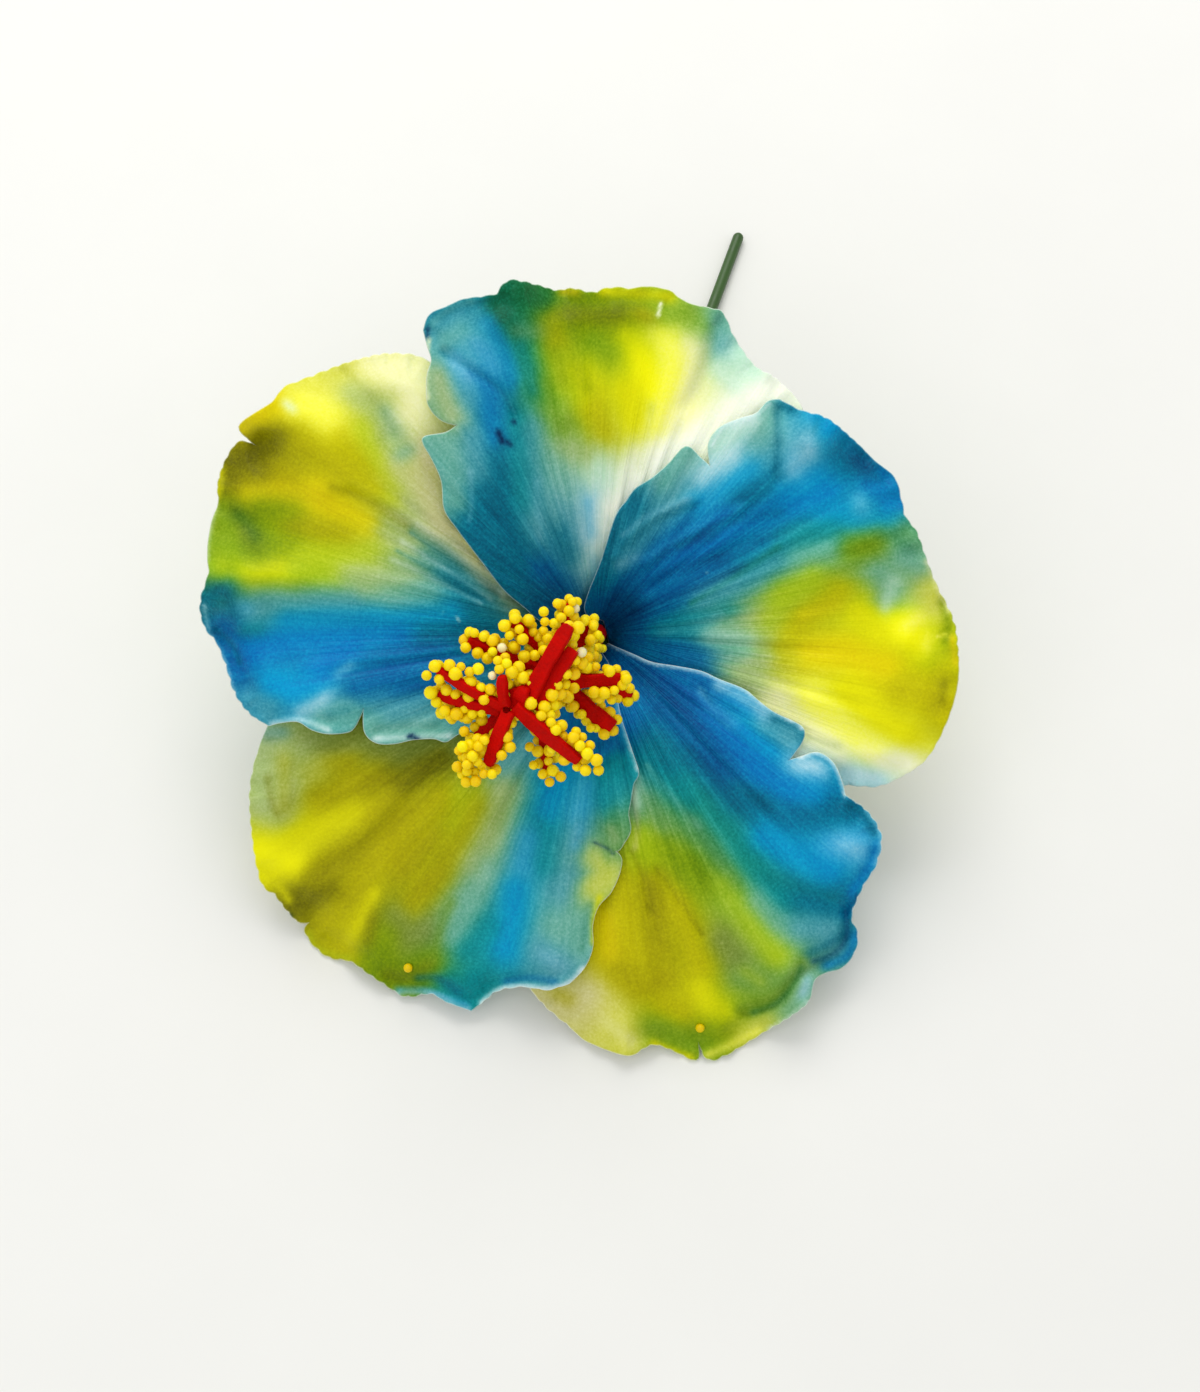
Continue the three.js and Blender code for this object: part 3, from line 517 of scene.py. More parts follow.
WASHES_AND_PAINTED_LIGHT["petal_lower_left"] = [
    ("sage", (264, 744), (262, 770), (264, 800)), ("sage", (284, 756), (286, 782), (280, 812)),
    ("reed", (312, 742), (350, 746), (384, 744)), ("olive", (318, 768), (345, 762)),
    ("sage", (306, 752), (314, 766)), ("reed", (404, 752), (436, 742), (458, 738)),
    # The dark olive pass below is a painted shadow, cast by the edge of the left petal that lies over this
    # one.
    ("olive", (320, 800), (352, 784), (380, 778)), ("dark_olive", (400, 782), (420, 768), (440, 758)),
    ("yellow", (268, 866), (296, 838), (326, 822), (352, 812)),
    ("bright_yellow", (262, 852), (280, 858), (292, 862)), ("mustard", (374, 812), (394, 800)),
    ("olive", (318, 876), (356, 850), (390, 818)), ("dark_olive", (294, 902), (312, 896), (330, 892)),
    ("mustard", (330, 916), (346, 892), (384, 852)), ("mustard", (392, 844), (414, 820), (438, 800)),
    ("mustard", (346, 946), (356, 920), (366, 896)), ("olive", (404, 862), (428, 836), (446, 812)),
    ("lime", (452, 820), (464, 800)), ("olive", (412, 902), (440, 872), (458, 842), (474, 808)),
    ("moss", (376, 952), (388, 936)), ("moss", (384, 974), (408, 978), (430, 964)),
    ("reed", (396, 916), (408, 934), (424, 930)), ("sage", (474, 866), (490, 830), (502, 792)),
    ("pale_teal", (452, 930), (466, 902), (486, 868)), ("teal", (452, 984), (466, 994), (474, 982)),
    ("teal", (470, 948), (490, 930)), ("azure", (504, 946), (512, 912), (514, 890)),
    ("sky", (524, 866), (530, 842)), ("teal", (542, 862), (546, 828)),
    ("azure", (548, 812), (552, 796), (560, 770)), ("cobalt", (560, 740), (574, 712), (588, 670)),
    ("slate", (500, 762), (520, 748)), ("sky", (580, 812), (588, 790)), ("slate", (574, 846), (578, 830)),
    ("slate", (560, 888), (572, 868)), ("pale_teal", (556, 928), (574, 924), (580, 942)),
    ("slate", (540, 952), (560, 966)), ("straw", (592, 860), (606, 872), (594, 888)),
    ("teal", (600, 794), (606, 776), (614, 766)), ("fern", (612, 828), (616, 842)),
    ("cobalt", (598, 744), (604, 722)),
]
WASHES_AND_PAINTED_LIGHT["petal_lower_right"] = [
    ("cobalt", (612, 660), (626, 700), (632, 730)),
    ("royal_blue", (636, 668), (668, 698), (704, 740), (730, 772)),
    ("royal_blue", (668, 676), (700, 690), (724, 712)), ("azure", (728, 708), (744, 730), (764, 750)),
    ("cobalt", (712, 716), (736, 748), (764, 776), (792, 794)), ("slate", (770, 726), (788, 736)),
    ("azure", (786, 790), (812, 796)), ("petrol", (736, 796), (772, 806), (812, 812), (844, 808)),
    # The sky pass below is a painted highlight on the bulge.
    ("azure", (764, 836), (790, 852), (826, 870)), ("sky", (830, 850), (856, 846)),
    ("teal", (650, 752), (676, 786), (710, 820), (748, 868), (784, 898)), ("petrol", (800, 900), (834, 904)),
    ("slate", (800, 928), (826, 930)), ("petrol", (640, 740), (668, 764)),
    ("pale_teal", (756, 902), (776, 922)), ("fern", (646, 806), (660, 822)),
    ("fern", (696, 822), (716, 846), (734, 880)), ("pale_teal", (632, 786), (638, 806)),
    ("lime", (642, 838), (650, 852)), ("moss", (664, 846), (690, 862), (704, 880)),
    ("lime", (726, 886), (748, 918), (776, 954)), ("reed", (722, 940), (736, 958)),
    ("fern", (744, 976), (764, 984)), ("leaf_green", (744, 1006), (774, 1000)),
    ("olive", (652, 884), (658, 912), (656, 944)), ("mustard", (616, 884), (624, 920), (628, 950)),
    ("mustard", (676, 906), (692, 940), (700, 966)), ("gold", (604, 920), (608, 950)),
    ("olive", (620, 972), (642, 984), (664, 978)), ("yellow", (700, 992), (712, 1006), (724, 1012)),
    ("mustard", (664, 1004), (680, 1010)), ("leaf_green", (656, 1026), (680, 1036), (704, 1042)),
    ("moss", (716, 1042), (726, 1030)), ("stone", (556, 996), (576, 1002)),
    ("stone", (590, 998), (598, 1010)), ("straw", (604, 1012), (612, 1020)),
    ("straw", (612, 1028), (624, 1042)), ("straw", (740, 1034), (764, 1022)),
    ("pale_teal", (786, 1006), (802, 988)),
]
WASHES_AND_PAINTED_LIGHT["petal_right"] = [
    ("petrol", (606, 580), (622, 546), (640, 512)),
    ("slate", (622, 562), (642, 530), (662, 505), (684, 486)),
    ("pale_teal", (668, 482), (682, 462), (688, 452)), ("mint", (716, 446), (736, 432), (752, 424)),
    ("ice", (704, 480), (728, 458)), ("azure", (700, 500), (728, 482), (752, 468)),
    ("royal_blue", (612, 602), (640, 568), (676, 540), (720, 516)),
    ("cobalt", (640, 590), (684, 560), (736, 530), (784, 508), (826, 492)),
    ("petrol", (742, 498), (762, 486), (774, 476)), ("pale_teal", (766, 420), (764, 440)),
    ("slate", (768, 446), (764, 460)), ("slate", (808, 428), (804, 448)),
    ("pale_blue", (798, 458), (794, 470)), ("azure", (786, 492), (816, 480)),
    ("petrol", (840, 452), (856, 464), (872, 474)), ("azure", (812, 418), (830, 430)),
    ("cobalt", (872, 486), (890, 504)), ("azure", (824, 514), (852, 516), (884, 520)),
    ("royal_blue", (640, 618), (680, 590), (728, 562), (764, 544)),
    ("teal", (744, 562), (780, 544), (826, 530)), ("slate", (704, 598), (736, 580), (776, 560)),
    ("pale_teal", (800, 556), (826, 548)), ("moss", (852, 548), (874, 544)),
    ("fern", (882, 536), (902, 534)), ("teal", (656, 632), (696, 622), (724, 612)),
    ("royal_blue", (640, 640), (672, 650), (700, 656)), ("pale_teal", (712, 640), (742, 646)),
    ("sage", (724, 622), (756, 618)), ("sage", (748, 676), (764, 650)),
    ("lime", (766, 616), (786, 592), (812, 578)), ("mustard", (782, 650), (806, 616), (836, 592)),
    ("yellow", (862, 612), (880, 628)), ("gold", (808, 652), (846, 652), (884, 664)),
    ("pale_teal", (880, 574), (890, 592)), ("pale_teal", (904, 556), (918, 566)),
    ("straw", (928, 586), (936, 600)), ("bright_yellow", (900, 626), (922, 646)),
    ("lime", (936, 648), (930, 662)), ("mustard", (904, 688), (936, 672)),
    ("mustard", (932, 694), (944, 706)), ("yellow", (852, 694), (880, 720), (908, 736)),
    ("lemon", (812, 702), (844, 730), (872, 750)), ("cream", (776, 702), (804, 726), (840, 752)),
    ("white", (884, 762), (904, 762)), ("ice", (808, 756), (828, 762)),
    ("pale_blue", (848, 774), (876, 778)),
]

# Soft strokes laid over the washes in order: (colour, strength, radius in px, then its points). Many strokes
# are painted light: pale strokes on raised folds and bulges are painted highlights, and dark strokes along
# creases, dips and the rolled rims' grooves are painted shade.
SPRAYS_AND_PAINTED_LIGHT = {}
SPRAYS_AND_PAINTED_LIGHT["petal_top"] = [
    ("dark_olive", 0.45, 12, (564, 313), (598, 316), (626, 312)), ("moss", 0.4, 9, (556, 350), (563, 384)),
    ("moss", 0.35, 10, (574, 360), (590, 392)), ("dark_green", 0.6, 7, (494, 304), (505, 320), (516, 334)),
    ("teal", 0.4, 6, (520, 342), (528, 365), (533, 392)),
    # Painted highlights on the raised fold: the sky and pale blue strokes below.
    ("sky", 0.5, 8, (474, 342), (486, 352), (494, 368)), ("pale_blue", 0.35, 7, (452, 360), (470, 378)),
    ("pale_teal", 0.4, 5, (430, 325), (450, 308), (474, 300)),
    ("sage", 0.5, 7, (438, 374), (446, 400), (454, 418)), ("sky", 0.35, 6, (588, 500), (592, 535)),
    ("white", 0.85, (10, 7), (704, 436), (664, 460), (640, 480), (612, 512)),
    ("mustard", 0.9, 6, (560, 291), (578, 292)), ("yellow", 0.9, (6, 8), (600, 291), (640, 293), (674, 297)),
    ("olive", 0.6, 9, (636, 312), (652, 318)), ("sage", 0.3, 9, (514, 330), (530, 333), (543, 330)),
    ("sage", 0.3, (6, 9), (704, 346), (700, 372), (694, 392)),
    ("sage", 0.22, (5, 8), (652, 404), (646, 440), (640, 470)), ("mint", 0.6, 10, (716, 368), (738, 388)),
    # Painted shade in the crease: the petrol stroke below.
    ("petrol", 0.4, (3, 4), (440, 352), (470, 368), (498, 388), (514, 412)),
    ("royal_blue", 0.4, (5, 11), (470, 372), (492, 392), (500, 420)),
    ("pale_blue", 0.3, (3, 2), (470, 470), (472, 500), (469, 522)),
    ("pale_blue", 0.2, (4, 6), (536, 480), (540, 540)),
    ("throat_blue", 0.7, (24, 34), (540, 604), (596, 634)), ("sky", 0.3, (7, 5), (594, 556), (593, 590)),
    ("cream", 0.8, 2.5, (429, 338), (426, 372), (428, 400)), ("ink", 0.95, 3.5, (498, 431), (503, 443)),
    ("ink", 0.8, 2.5, (507, 441), (511, 446)), ("ink", 0.8, 2.2, (513, 421), (515, 423)),
    ("ink", 0.7, 2.2, (428, 328), (427, 338)), ("white", 0.9, 2.0, (661, 303), (658, 316)),
]
SPRAYS_AND_PAINTED_LIGHT["petal_left"] = [
    ("throat_blue", 0.7, (16, 28), (548, 634), (596, 638)), ("petrol", 0.3, 6, (326, 714), (350, 710)),
    ("stone", 0.6, (8, 5), (424, 440), (436, 478)), ("pale_teal", 0.5, 9, (398, 456), (412, 449)),
    ("straw", 0.35, (5, 4), (432, 470), (450, 512), (478, 560)), ("gold", 0.5, 6, (248, 418), (262, 408)),
    # The ice stroke below is a small painted highlight.
    ("slate", 0.3, (8, 12), (384, 408), (400, 440)), ("ice", 0.6, 6, (284, 402), (294, 410)),
    ("ice", 0.8, 4, (214, 505), (207, 535), (204, 562)), ("yellow", 0.7, 5, (221, 468), (217, 496)),
    # The next seven strokes paint the crease and its fine veins: painted shade (dark olive, petrol) and
    # painted highlights (ice).
    ("dark_olive", 0.28, (4, 5), (330, 486), (372, 504), (410, 528)),
    ("petrol", 0.22, (5, 4), (410, 528), (450, 556), (499, 591)),
    ("ice", 0.35, (3, 2), (390, 558), (440, 582), (482, 604)),
    ("ice", 0.35, (3, 2), (400, 540), (450, 572), (492, 600)),
    ("ice", 0.3, (3, 2), (416, 522), (462, 560), (504, 596)),
    ("petrol", 0.3, 2, (396, 550), (444, 577), (486, 602)),
    ("petrol", 0.3, 2, (410, 532), (456, 566), (498, 598)),
    ("petrol", 0.65, 8, (212, 592), (226, 590), (234, 616)),
    # Painted shade in the dip: the next two strokes.
    ("dark_olive", 0.5, (9, 12), (232, 508), (246, 524), (256, 542)),
    ("dark_green", 0.3, 8, (234, 512), (248, 524), (256, 540)),
    # Below: painted shade in a dip (dark olive) and a painted highlight (sky).
    ("dark_olive", 0.5, 10, (232, 464), (258, 454)), ("sky", 0.5, 10, (240, 602), (250, 612)),
    # The petrol stroke below is painted shade along the crease.
    ("teal", 0.6, 8, (240, 630), (262, 628)), ("petrol", 0.6, (4, 3), (214, 628), (232, 644), (240, 664)),
    # Painted highlights on the lower lobe: the pale blue and ice strokes on the next two lines.
    ("pale_blue", 0.5, (10, 12), (332, 692), (316, 704), (296, 714)),
    ("ice", 0.35, (5, 7), (326, 697), (312, 706), (298, 712)), ("pale_blue", 0.4, 6, (336, 676), (352, 664)),
    ("ice", 0.7, 3.5, (374, 739), (412, 737), (452, 736)),
    ("ice", 0.7, 3, (270, 724), (300, 720), (330, 731)),
    ("ice", 0.5, 2.5, (204, 604), (210, 634), (224, 660), (234, 694)),
    ("ink", 0.95, 2.4, (408, 737), (413, 735)), ("ink", 0.9, 2.2, (414, 738), (419, 739)),
    ("white", 0.7, 1.1, (457, 617), (460, 621)), ("white", 0.6, 1.0, (442, 613), (443, 613)),
]
SPRAYS_AND_PAINTED_LIGHT["petal_lower_left"] = [
    ("slate", 0.5, (10, 8), (262, 732), (286, 732)),
    # The dark olive stroke below is painted shade in a dip.
    ("dark_olive", 0.3, 4, (267, 776), (271, 800), (278, 816)), ("olive", 0.4, 10, (284, 756), (284, 812)),
    # Painted shade along the long crease.
    ("dark_olive", 0.22, (9, 5), (306, 880), (352, 852), (392, 808), (430, 768)),
    ("dark_olive", 0.4, 8, (372, 914), (368, 944)),
    ("yellow", 0.7, (9, 6), (348, 944), (362, 916), (376, 890)),
    ("yellow", 0.7, 5, (264, 872), (278, 884), (290, 902)),
    ("lime", 0.5, 4, (308, 932), (318, 950), (350, 958)),
    ("leaf_green", 0.5, (5, 7), (432, 962), (440, 930), (452, 900)),
    # Painted shade in the groove along the rim.
    ("petrol", 0.6, (4, 6), (416, 978), (438, 978), (460, 994)),
    ("sky", 0.7, 4, (396, 990), (424, 990), (446, 998), (468, 1006)),
    ("royal_blue", 0.6, 4, (504, 982), (530, 978), (556, 982)),
    ("dark_green", 0.25, 5, (590, 904), (586, 930), (582, 950)),
    ("yellow", 0.8, 3.5, (600, 896), (594, 920), (594, 944)),
    ("royal_blue", 0.6, (9, 6), (596, 748), (612, 742), (624, 748)),
    ("sea_green", 0.3, 7, (606, 812), (618, 820)), ("sage", 0.35, 6, (610, 828), (616, 842)),
    ("sky", 0.4, 6, (574, 848), (580, 826)), ("pale_blue", 0.3, 8, (540, 952), (560, 966)),
    # Painted shade in the same groove along the rim.
    ("dark_olive", 0.3, 8, (384, 974), (408, 976), (430, 964)),
    ("throat_blue", 0.8, 24, (596, 652), (596, 640)),
    ("ice", 0.9, 3.2, (480, 1004), (498, 990), (523, 986), (547, 989), (569, 983), (584, 967)),
    ("ice", 0.7, 2, (612, 682), (620, 716), (632, 753), (638, 771)),
    ("pale_blue", 0.7, 2.5, (396, 994), (431, 993), (452, 1003), (471, 1010)),
    ("ink", 0.5, 1.8, (594, 842), (606, 848), (614, 854)), ("ink", 0.5, 2.2, (288, 914), (292, 916)),
]
SPRAYS_AND_PAINTED_LIGHT["petal_lower_right"] = [
    ("throat_blue", 0.6, 20, (600, 642), (622, 656)),
    ("throat_blue", 0.35, (8, 16), (636, 668), (668, 698), (704, 740), (730, 772)),
    # Painted highlights along the raised fold under the upper edge: the next two strokes.
    ("pale_blue", 0.7, (6, 9), (716, 684), (744, 698), (768, 716)),
    ("pale_blue", 0.3, (5, 8), (700, 690), (712, 708), (736, 726)),
    ("pale_teal", 0.4, (3, 5), (646, 764), (672, 796), (700, 828)),
    ("petrol", 0.5, 5, (772, 718), (796, 726), (802, 738)),
    # Painted highlights on the bulges: the pale blue and ice strokes below, and the pale blue one on the
    # next line.
    ("pale_blue", 0.7, (15, 12), (790, 762), (826, 772)), ("ice", 0.4, (9, 7), (796, 764), (818, 766)),
    ("azure", 0.6, 7, (838, 772), (842, 790)), ("pale_blue", 0.5, 12, (838, 842), (862, 852)),
    # Painted shade in the groove by the rim.
    ("petrol", 0.6, (4, 5), (846, 804), (864, 814), (876, 836)),
    ("cobalt", 0.8, (7, 6), (876, 846), (866, 872), (852, 892), (846, 916)),
    # Painted shade in the rolled rim's groove.
    ("petrol", 0.6, (5, 7), (846, 898), (846, 926), (836, 940), (806, 956)),
    ("cobalt", 0.8, 7, (856, 932), (848, 956), (824, 966)),
    ("petrol", 0.4, (8, 10), (686, 748), (724, 784), (770, 804)), ("teal", 0.4, 7, (786, 884), (836, 898)),
    # Painted shade along the two creases.
    ("dark_olive", 0.3, (1.6, 3), (630, 850), (642, 876), (651, 914)),
    ("dark_olive", 0.3, (1.6, 3), (656, 868), (676, 896), (703, 936)),
    ("leaf_green", 0.7, (8, 9), (802, 960), (794, 982), (776, 998), (744, 1008)),
    ("pale_blue", 0.6, 7, (808, 976), (802, 996)), ("stone", 0.5, 3.5, (632, 788), (637, 820), (635, 850)),
    # Painted shade in the rolled rim's groove: the next two strokes.
    ("throat_blue", 0.5, 3, (858, 896), (847, 912), (847, 936), (836, 952), (812, 962)),
    ("dark_green", 0.4, 4, (802, 966), (796, 980), (788, 992), (775, 1004), (752, 1013)),
    ("dark_olive", 0.15, 9, (652, 884), (656, 910), (654, 942)), ("mint", 0.55, 5, (632, 786), (638, 806)),
    ("lime", 0.4, 8, (742, 970), (764, 984)), ("yellow", 0.9, 4.5, (652, 1043), (674, 1052), (692, 1058)),
    ("lemon", 0.75, 5, (706, 1056), (736, 1042), (760, 1030)),
    ("ice", 0.85, 2.2, (604, 641), (633, 655), (652, 663), (676, 667), (701, 672), (719, 680), (744, 690),
     (759, 702), (793, 722), (803, 729)),
    ("ice", 0.8, 2.4, (799, 758), (817, 753), (832, 762), (840, 778), (845, 796)),
    ("ice", 0.5, 2.2, (768, 1029), (790, 1016), (808, 1001)),
    ("pale_blue", 0.5, 2.5, (866, 811), (877, 826), (881, 842), (875, 866)),
    ("cream", 0.35, 8, (604, 1020), (634, 1044)), ("olive", 0.55, 10, (552, 990), (572, 1002)),
]
SPRAYS_AND_PAINTED_LIGHT["petal_right"] = [
    ("throat_blue", 0.8, (26, 14), (596, 634), (636, 604)),
    ("throat_blue", 0.4, (6, 8), (606, 606), (670, 572), (724, 556)),
    ("throat_blue", 0.3, (5, 7), (612, 596), (668, 552), (716, 534)),
    ("throat_blue", 0.3, (4, 6), (634, 614), (690, 590), (744, 566)),
    # The next five strokes paint the folds by the throat: painted shade (petrol) in their dips and painted
    # highlights (sky, pale blue) on their ridges.
    ("petrol", 0.4, (3, 5), (630, 544), (660, 520), (696, 506)),
    ("petrol", 0.35, (4, 7), (676, 546), (730, 522), (784, 512)),
    ("sky", 0.25, (3, 5), (648, 556), (700, 524), (742, 504)),
    ("pale_blue", 0.35, (3, 4), (622, 536), (648, 516), (690, 498)),
    ("pale_blue", 0.35, 6, (618, 566), (638, 556)),
    ("petrol", 0.5, (3, 4), (604, 560), (618, 524), (634, 496)), ("petrol", 0.6, 6, (778, 404), (796, 411)),
    # The first petrol stroke below is painted shade in the upright crease.
    ("petrol", 0.4, (4, 5), (777, 412), (778, 440), (776, 470)), ("ice", 0.5, 7, (730, 426), (754, 418)),
    ("throat_blue", 0.5, 9, (852, 452), (868, 470)), ("cobalt", 0.7, 5, (880, 470), (898, 490), (902, 508)),
    # The pale blue stroke below is a painted highlight on a raised fold.
    ("pale_blue", 0.35, 11, (858, 498), (864, 512)), ("moss", 0.5, 10, (858, 550), (884, 540)),
    ("dark_green", 0.25, 8, (880, 534), (900, 540), (912, 554)),
    ("bright_yellow", 0.35, 8, (864, 708), (904, 734)),
    ("mint", 0.55, (10, 6), (896, 578), (888, 596), (884, 610)), ("lemon", 0.8, 9, (922, 616), (904, 628)),
    ("lemon", 0.5, 7, (928, 634), (926, 650)), ("moss", 0.7, (5, 6), (942, 600), (948, 624), (946, 644)),
    ("gold", 0.8, 4, (952, 636), (956, 664)), ("dark_olive", 0.3, 5, (944, 682), (942, 702)),
    ("sage", 0.35, (3, 5), (806, 738), (840, 746)), ("slate", 0.35, 7, (660, 632), (696, 624), (722, 613)),
    ("mint", 0.3, 9, (706, 632), (730, 636), (752, 642)), ("ice", 0.35, 7, (848, 774), (876, 778)),
    # The pale blue stroke below is a painted highlight on a raised fold.
    ("cream", 0.5, 9, (862, 750), (884, 762), (904, 762)), ("pale_blue", 0.45, 9, (806, 436), (812, 456)),
    ("gold", 0.35, (5, 9), (800, 616), (842, 604)),
    ("sea_green", 0.5, (3, 5), (690, 604), (736, 576), (780, 546)),
    ("ice", 0.6, 2, (712, 446), (722, 428), (741, 419), (756, 415), (770, 403)),
    ("cream", 0.6, 2.4, (925, 560), (936, 586), (949, 612)), ("white", 0.6, 1.0, (706, 572), (708, 572)),
    ("lemon", 0.7, 1.8, (936, 637), (946, 634)),
]

WASH_SOFTNESS_PX = 14.0
WASH_SHARPNESS = 3.2
WASH_RICHNESS = 1.14
STREAK_LENGTH_PX = 4.0
# Where washes reach further out or stop shorter along a vein: (veins round the throat, phase, share).
STREAKS = [(23, 1.1, 0.35), (41, 4.0, 0.3), (67, 2.0, 0.2), (113, 0.5, 0.15)]
CUT_FOAM_SHARE = 0.75
BACK_PALENESS = 0.35
# How far from the throat the streaks fade in and out, and how much they turn for each px outwards.
STREAK_START_PX = (20, 140)
STREAK_END_PX = (260, 420)
STREAK_TWIST = 0.006


def streaked(pixels):
    """Moves points along the petal's veins, so that washes laid over them get feathered ends."""
    across = pixels - THROAT_PX
    distance = np.linalg.norm(across, axis=1)
    turn = np.arctan2(across[:, 1], across[:, 0])
    twist = STREAK_TWIST * distance
    feather = sum(share * np.sin(count * turn + phase + twist) for count, phase, share in STREAKS)
    shown = smoothstep(*STREAK_START_PX, distance) * (1 - smoothstep(*STREAK_END_PX, distance))
    reach = STREAK_LENGTH_PX * feather * shown
    return pixels + across * (reach / np.maximum(distance, 1))[:, None]


def airbrush_with_painted_light(petal_name, pixels, palette):
    """The sprayed colour at photo pixels, painted highlights and painted shade included, mixed as the eye
    sees it, in display values.
    """
    feathered = streaked(pixels)
    mixed = np.zeros((len(pixels), 3))
    total = np.zeros(len(pixels))
    for name, *path in WASHES_AND_PAINTED_LIGHT[petal_name]:
        distance, _ = nearest_on_path(feathered, path)
        weight = np.hypot(distance, WASH_SOFTNESS_PX) ** -WASH_SHARPNESS
        mixed += weight[:, None] * palette[name]
        total += weight
    mixed /= total[:, None]
    grey = mixed.mean(axis=1)[:, None]
    mixed = np.clip(grey + WASH_RICHNESS * (mixed - grey), 0.01, 0.99)
    for name, strength, radius, *path in SPRAYS_AND_PAINTED_LIGHT[petal_name]:
        cover = strength * stroke(pixels, radius, path)[:, None]
        mixed = mixed * (1 - cover) + palette[name] * cover
    return mixed


def to_linear(display):
    """Display colour values as the linear ones that Blender stores."""
    display = np.asarray(display, float)
    return np.where(display <= 0.04045, display / 12.92, ((display + 0.055) / 1.055) ** 2.4)


def to_display(linear):
    """Linear colour values as display ones, in which paints are mixed."""
    linear = np.asarray(linear, float)
    bright = 1.055 * np.maximum(linear, 0) ** (1 / 2.4) - 0.055
    return np.where(linear <= 0.0031308, linear * 12.92, bright)


def from_hex(code):
    """A colour written as six hex digits, as linear values."""
    return tuple(to_linear([int(code[start:start + 2], 16) / 255 for start in (0, 2, 4)]))


# -------- sizes and colours to change

def colour(name, description, code):
    return bpy.props.FloatVectorProperty(
        name=name, description=description, default=from_hex(code), subtype="COLOR", size=3, min=0, max=1,
    )


def length(name, description, millimetres):
    return bpy.props.FloatProperty(
        name=name, description=description, default=millimetres * MM, min=0, unit="LENGTH", precision=5,
    )


class SprayAndPaintedLightColours(bpy.types.PropertyGroup):
    """The paints that the petals are airbrushed with, and the colours of their painted highlights and
    painted shade.
    """

    throat_blue: colour("Throat blue", "Darkest blue, down the throat", "02406E")
    royal_blue: colour("Royal blue", "Deep blue of the blue bands", "02629A")
    cobalt: colour("Cobalt", "Strong middle blue", "027AB8")
    azure: colour("Azure", "Bright greenish blue", "0494C6")
    # Sky is a painted highlight: the light blue of raised parts that catch the light.
    sky: colour("Sky", "Light blue of the raised parts", "4AACD4")
    # Pale blue is partly thinly sprayed blue and partly a painted highlight on raised folds and bulges.
    pale_blue: colour("Pale blue", "Thinly sprayed blue", "9FD0E4")
    # Ice is partly the pale cut foam along the rims and partly a painted highlight on raised folds.
    ice: colour("Ice", "Almost white blue", "E2F3F4")
    # Petrol is partly the paint's dark blue green and partly painted shade, laid in the rims' grooves and in
    # creases.
    petrol: colour("Petrol", "Dark blue green of the rims", "026680")
    teal: colour("Teal", "Blue over yellow", "0A868E")
    sea_green: colour("Sea green", "Blue over more yellow", "228A6C")
    # Dark green is blue over yellow darkened in folds: painted shade.
    dark_green: colour("Dark green", "Blue and yellow in a fold", "0C5F3C")
    leaf_green: colour("Leaf green", "Clear green where blue meets yellow", "769824")
    fern: colour("Fern", "Soft green where blue meets yellow", "649153")
    reed: colour("Reed", "Dull green in the shade", "7C8C4A")
    moss: colour("Moss", "Yellowish green", "748C04")
    olive: colour("Olive", "Yellow in the shade", "A09A02")
    # Dark olive is yellow darkened deep in folds and under overlapping edges: painted shade.
    dark_olive: colour("Dark olive", "Yellow deep in a fold", "6C6A02")
    lime: colour("Lime", "Greenish yellow", "B4C41E")
    yellow: colour("Yellow", "Full yellow", "D9D604")
    bright_yellow: colour("Bright yellow", "Full yellow in the light", "F5F108")
    lemon: colour("Lemon", "Pale bright yellow", "F6F561")
    gold: colour("Gold", "Warm yellow", "DACA0A")
    mustard: colour("Mustard", "Dull yellow", "B6B002")
    straw: colour("Straw", "Bare foam with more yellow, in the shade", "D2D262")
    cream: colour("Cream", "Bare foam with a breath of yellow", "F0EFBE")
    white: colour("White", "Bare foam", "FCFEEE")
    mint: colour("Mint", "Bare foam with a breath of green", "C8E6D2")
    pale_teal: colour("Pale teal", "Thin blue over pale yellow", "78B0A0")
    sage: colour("Sage", "Greyish green", "A8BA82")
    slate: colour("Slate", "Greyish blue", "5A9EAA")
    stone: colour("Stone", "Foam in the shade", "CBC698")
    ink: colour("Ink", "Specks of paint", "04274F")


class FlowerSettings(bpy.types.PropertyGroup):
    """Sizes and colours of the flower's pieces."""

    foam: length("Petal foam", "Thickness of a petal", 1.0)
    rim_foam: length("Pressed rim", "Thickness of a petal at its outline", 0.55)
    rim_round: length("Rim rounding", "How far the cut edge bulges beyond both faces", 0.18)
    petal_detail: length("Petal detail", "Distance between a petal's vertices", 0.4)
    bead: length("Bead", "Middle radius of a bead", 0.87)
    column: length("Column", "Radius of the stamen's column", 1.7)
    finger_thickness: length("Finger thickness", "Thickness of a finger at its base", 1.3)
    stem: length("Stem", "Radius of the stem", 1.0)
    pale_foam: colour("Pale foam", "The foam's own colour, at its cut edges", "EFF3EA")
    red_foam: colour("Red foam", "The column and its fingers", "C80600")
    bead_yellow: colour("Bead yellow", "The beads' colour", "FFDB06")
    # Bead white also colours the bead that stands for a glint: a painted highlight.
    bead_white: colour("Bead white", "The few white beads", "F7EBB8")
    calyx_green: colour("Calyx green", "The cup and the sepals", "4C7A2C")
    stem_green: colour("Stem green", "The coated wire", "2E5416")


class StageSettings(bpy.types.PropertyGroup):
    """The floor and the lights."""

    floor: colour("Floor", "The pale floor", "EAEAE6")
    key_power: bpy.props.FloatProperty(
        name="Key light", description="Power of the large light", default=2.7, min=0, unit="POWER",
    )
    fill_power: bpy.props.FloatProperty(
        name="Fill light", description="Power of the light that softens the shadows", default=1.2, min=0,
        unit="POWER",
    )
    sky_strength: bpy.props.FloatProperty(
        name="Sky", description="Strength of the even light from all round", default=0.7, min=0,
    )


